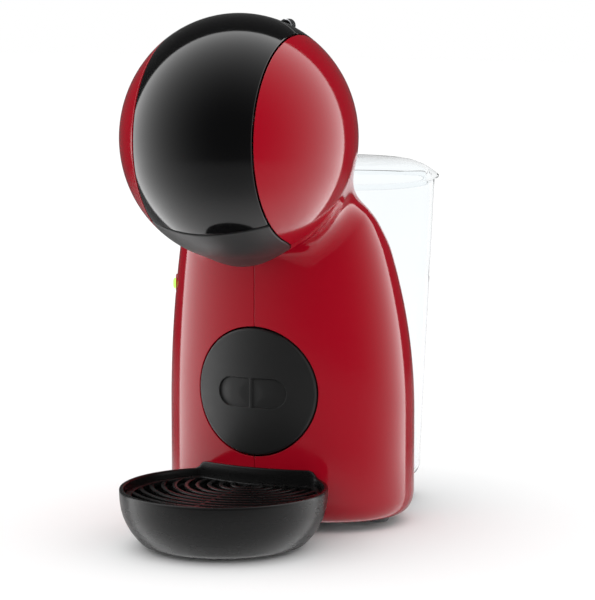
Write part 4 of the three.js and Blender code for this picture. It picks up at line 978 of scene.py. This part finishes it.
def tank_reach(z, shrink, gap):
    share = (z - TANK_LOW) / (TANK_RIM - TANK_LOW)
    inset = 8 * (1 - share)
    up = min(1, max(0, (z - TANK_LOW) / 6))
    round_in = 4 * (1 - math.sqrt(max(0, 1 - (1 - up) ** 2)))
    half_x = TANK_HALF[0] - inset - round_in - shrink
    half_y = TANK_HALF[1] - inset * 0.6 - round_in - shrink
    field = lambda p: np.maximum(oval(p, half_x, half_y, TANK), gap - trunk(p))
    return soften(reach(TANK, field, z), 2)


def water_tank():
    levels = [TANK_LOW + 6 * s for s in (0, 0.08, 0.25, 0.5, 0.8, 1)]
    levels += list(np.linspace(26, 120, 16)) + [127.3, 127.9, 131, 134.1, 134.7]
    levels += list(np.linspace(141, TANK_RIM - 0.6, 8))
    rings = [ring_at(TANK, tank_reach(TANK_LOW, 0, 1.2) * f, TANK_LOW) for f in (0.13, 0.5)]
    for z in levels:
        rings.append(ring_at(TANK, tank_reach(z, 0, 1.2) - 0.2 * (LEVEL_BAND[0] < z < LEVEL_BAND[1]), z))
    rim = tank_reach(TANK_RIM, 0, 1.2)
    rings += [ring_at(TANK, rim - 0.5, TANK_RIM), ring_at(TANK, rim - 1.5, TANK_RIM)]
    for z in reversed(levels[3:]):
        rings.append(ring_at(TANK, tank_reach(z, 2.0, 3.2), max(z, TANK_LOW + 2.6)))
    rings += [ring_at(TANK, tank_reach(TANK_LOW + 3, 4.0, 5.0) * f, TANK_LOW + 2) for f in (1, 0.6, 0.1)]
    finish_piece(from_rings("water_tank_wall", rings, sharp=55),
                 "water_tank", CLEAR, ["tank"])
    low = node_box("tank")[0]
    top = TANK_LOW - 0.3
    neck = [(4.0, low[2]), (5.4, low[2]), (6.0, low[2] + 0.6), (6.0, top), (4.0, top)]
    collar = lathe("water_tank_neck", neck, (0, DOCK_Y, 0), sides=48, closed=True)
    finish_piece(collar, "water_tank", CLEAR)


def tank_lid():
    low, high = node_box("tank_lid")
    lip = TANK_RIM + 0.3

    def ring(inset, z):
        half_x, half_y = TANK_HALF[0] + 2.5 - inset, TANK_HALF[1] + 2.5 - inset
        c, s = np.cos(ANGLES), np.sin(ANGLES)
        power = 2 / SQUARENESS
        x = half_x * np.sign(c) * np.abs(c) ** power
        y = half_y * np.sign(s) * np.abs(s) ** power
        return np.stack([x, TANK[1] + y, np.full(AROUND, z)], 1)

    top = high[2]
    dome = [(0.5, lip), (0.1, lip + 0.4), (0, lip + 1.0), (0.5, lip + 1.7), (1.5, lip + 2.5),
            (3, lip + 3.6), (5.5, lip + 5.4), (8.5, lip + 7.2), (14, lip + 9.3), (19, lip + 10.3),
            (31, top - 0.35),
            (41, top - 0.1), (53.4, top)]
    under = [(53.2, top - 1.5), (31, top - 1.9), (19, lip + 8.7), (14, lip + 7.6), (9, lip + 5.4),
             (7.2, lip + 3.8), (6.9, lip + 2.0), (6.9, low[2] + 0.2), (6.6, low[2]), (5.3, low[2]),
             (5.1, low[2] + 0.2), (5.1, lip - 0.2), (4.6, lip)]
    obj = from_rings("water_tank_lid", [ring(*q) for q in under + dome], sharp=50)
    finish_piece(obj, "lid", CLEAR, ["tank_lid"])


# ------------------------------------------------------------------ lever, button, carried-over parts
def lever_and_button():
    low, high = node_box("selector_ring")
    centre = (low + high) / 2
    half = (high[1] - low[1]) / 2
    cap = [(1.9, -half - 0.55), (2.5, -half - 0.3), (2.55, -half + 0.2), (2.55, half - 0.2),
           (2.5, half + 0.3), (1.9, half + 0.55)]
    finish_piece(lathe("lever_knob_core", cap, centre, (0, 1, 0)), "selector", SATIN)
    ring = [(2.7, -half + 0.2), (3.0, -half), (3.4, -half), (3.65, -half + 0.35), (3.65, half - 0.35),
            (3.4, half), (3.0, half), (2.7, half - 0.2)]
    finish_piece(lathe("lever_knob_ring", ring, centre, (0, 1, 0), closed=True),
                 "selector", RING, ["selector_ring"])
    out = BUTTON_OUT
    button = [(4.6, -5.8), (5.2, -5.4), (5.2, -0.2), (5.0, 0.15), (4.5, 0.3), (3.4, 0.3),
              (3.25, 0.1), (3.2, -0.6)]
    finish_piece(lathe("power_button_cap", button, BUTTON_AT, out),
                 "button", RED, ["power_button"])
    lens = [(2.0, -0.75), (2.9, -0.7), (2.9, 0.9), (2.75, 1.25), (2.2, 1.6), (1.2, 1.8)]
    finish_piece(lathe("power_button_lens", lens, BUTTON_AT, out),
                 "button", LIT, ["power_light"])


CARRIED = {
    "steel": STEEL, "brass": BRASS, "frame_grey": INNER, "matt_black": MATT, "hose": SILICONE,
    "copper_coil": WINDING, "cast_aluminium": CAST, "black_rubber": BLACK_RUBBER, "grey_rubber": RUBBER,
    "board": BOARD, "pale_plastic": PALE, "red_plastic": RED, "black_plastic": BLACK,
    "clear_plastic": CLEAR, "bright_ring": RING, "light": LIT,
}


def dress_cad_nodes():
    """Gives every carried-over CAD node its own finish."""
    for entry in frame["record"]["subparts"]:
        obj = NODES[entry["node"]]
        for i in range(max(1, len(obj.material_slots))):
            if not obj.material_slots:
                obj.data.materials.append(CARRIED[entry["material_slot"]])
            else:
                obj.material_slots[i].material = CARRIED[entry["material_slot"]]


# ------------------------------------------------------------------ stage, light, camera
def soft_studio(tree):
    """A white room for the eye, and one wrap-around soft light that the gloss mirrors.

    The light is dim where it faces the front of the machine, grows towards its
    sides and top, and ends in an edge behind them.
    """
    background = tree.nodes["Background"]
    link = tree.links.new
    path = node(tree, "ShaderNodeLightPath")
    way = node(tree, "ShaderNodeTexCoord").outputs["Generated"]
    facing = node(tree, "ShaderNodeVectorMath", {1: LIGHT_MIDDLE}, operation="DOT_PRODUCT")
    link(way, facing.inputs[0])
    split = node(tree, "ShaderNodeSeparateXYZ")
    link(way, split.inputs[0])
    turn = math_node(tree, "ARCCOSINE", facing.outputs["Value"], 0.0)
    growth = math_node(tree, "POWER", math_node(tree, "DIVIDE", turn, LIGHT_SPREAD), 3.0)
    edge = node(tree, "ShaderNodeMapRange", {
        "From Min": LIGHT_END - 0.015, "From Max": LIGHT_END, "To Min": BEHIND_LIGHT})
    link(math_node(tree, "SUBTRACT", facing.outputs["Value"],
                   math_node(tree, "MULTIPLY", split.outputs["Z"], LIGHT_END_SLANT)), edge.inputs["Value"])
    mirrored = math_node(tree, "MULTIPLY", math_node(tree, "MULTIPLY", growth, LIGHT_AT_SPREAD),
                         edge.outputs[0])
    seen = math_node(tree, "MAXIMUM", path.outputs["Is Camera Ray"], path.outputs["Is Transmission Ray"])
    strength = ROOM_LIGHT
    for flag, value in ((path.outputs["Is Glossy Ray"], mirrored), (seen, 1.0)):
        mix = node(tree, "ShaderNodeMix")
        link(flag, mix.inputs["Factor"])
        for i, side in ((2, strength), (3, value)):
            if isinstance(side, float):
                mix.inputs[i].default_value = side
            else:
                link(side, mix.inputs[i])
        strength = mix.outputs[0]
    link(strength, background.inputs["Strength"])
    background.inputs["Color"].default_value = WHITE


def stage_and_light():
    work = bmesh.new()
    bmesh.ops.create_grid(work, x_segments=1, y_segments=1, size=6)
    mesh = bpy.data.meshes.new("floor")
    work.to_mesh(mesh)
    work.free()
    floor = placed("floor", mesh)
    paint = bpy.data.materials.new("pale_floor")
    paint.use_nodes = True
    tree = paint.node_tree
    link = tree.links.new
    shader = tree.nodes["Principled BSDF"]
    speck = node(tree, "ShaderNodeTexNoise", {"Scale": 3})
    ramp = node(tree, "ShaderNodeMapRange", {"To Min": 0.93, "To Max": 0.95})
    link(speck.outputs["Fac"], ramp.inputs["Value"])
    away = node(tree, "ShaderNodeVectorMath", operation="LENGTH")
    link(node(tree, "ShaderNodeTexCoord").outputs["Object"], away.inputs[0])
    pools = []
    for near, far, level in FLOOR_POOLS:
        pool = node(tree, "ShaderNodeMapRange", {
            "From Min": near, "From Max": far, "To Min": level, "To Max": 0.0},
            interpolation_type="SMOOTHSTEP")
        link(away.outputs["Value"], pool.inputs["Value"])
        pools.append(pool.outputs[0])
    path = node(tree, "ShaderNodeLightPath")
    mirrored = math_node(tree, "MULTIPLY", path.outputs["Is Glossy Ray"],
                         math_node(tree, "SUBTRACT", 1.0, path.outputs["Is Transmission Ray"]))
    faded = math_node(tree, "SUBTRACT", 1.0, math_node(tree, "ADD", *pools))
    link(math_node(tree, "SUBTRACT", 1.0, math_node(tree, "MULTIPLY", mirrored, faded)),
         shader.inputs["Alpha"])
    link(ramp.outputs[0], shader.inputs["Base Color"])
    shader.inputs["Roughness"].default_value = 1.0
    shader.inputs["Specular IOR Level"].default_value = 0.0
    mesh.materials.append(paint)
    scene = bpy.context.scene
    world = bpy.data.worlds.new("studio")
    scene.world = world
    world.use_nodes = True
    world.cycles.sampling_method = "NONE"
    soft_studio(world.node_tree)
    light = bpy.data.lights.new("overhead", "AREA")
    light.shape, light.size, light.size_y, light.energy = "RECTANGLE", 1.6, 1.6, 5
    lamp = placed("overhead", light)
    lamp.location = (-0.5, -0.5, 1.9)
    lamp.rotation_euler = (Vector((0, 0, 0.1)) - lamp.location).to_track_quat("-Z", "Y").to_euler()
    lamp.visible_glossy = False
    scene.view_settings.view_transform = "Standard"


def camera():
    yaw, pitch = math.radians(24.48), math.radians(7.43)
    ahead = Vector((-math.sin(yaw) * math.cos(pitch), math.cos(yaw) * math.cos(pitch), -math.sin(pitch)))
    lens = bpy.data.cameras.new("camera")
    lens.lens, lens.sensor_width = 158.5, 36
    lens.clip_start, lens.clip_end = 0.05, 30
    eye = placed("camera", lens)
    eye.location = (0.6011, -1.2975, 0.3086)
    eye.rotation_euler = ahead.to_track_quat("-Z", "Y").to_euler()
    bpy.context.scene.camera = eye


camera()
stage_and_light()
dress_cad_nodes()
red_shells()
handle_and_chin()
front_disc()
drip_grid(drip_tray())
water_tank()
tank_lid()
lever_and_button()
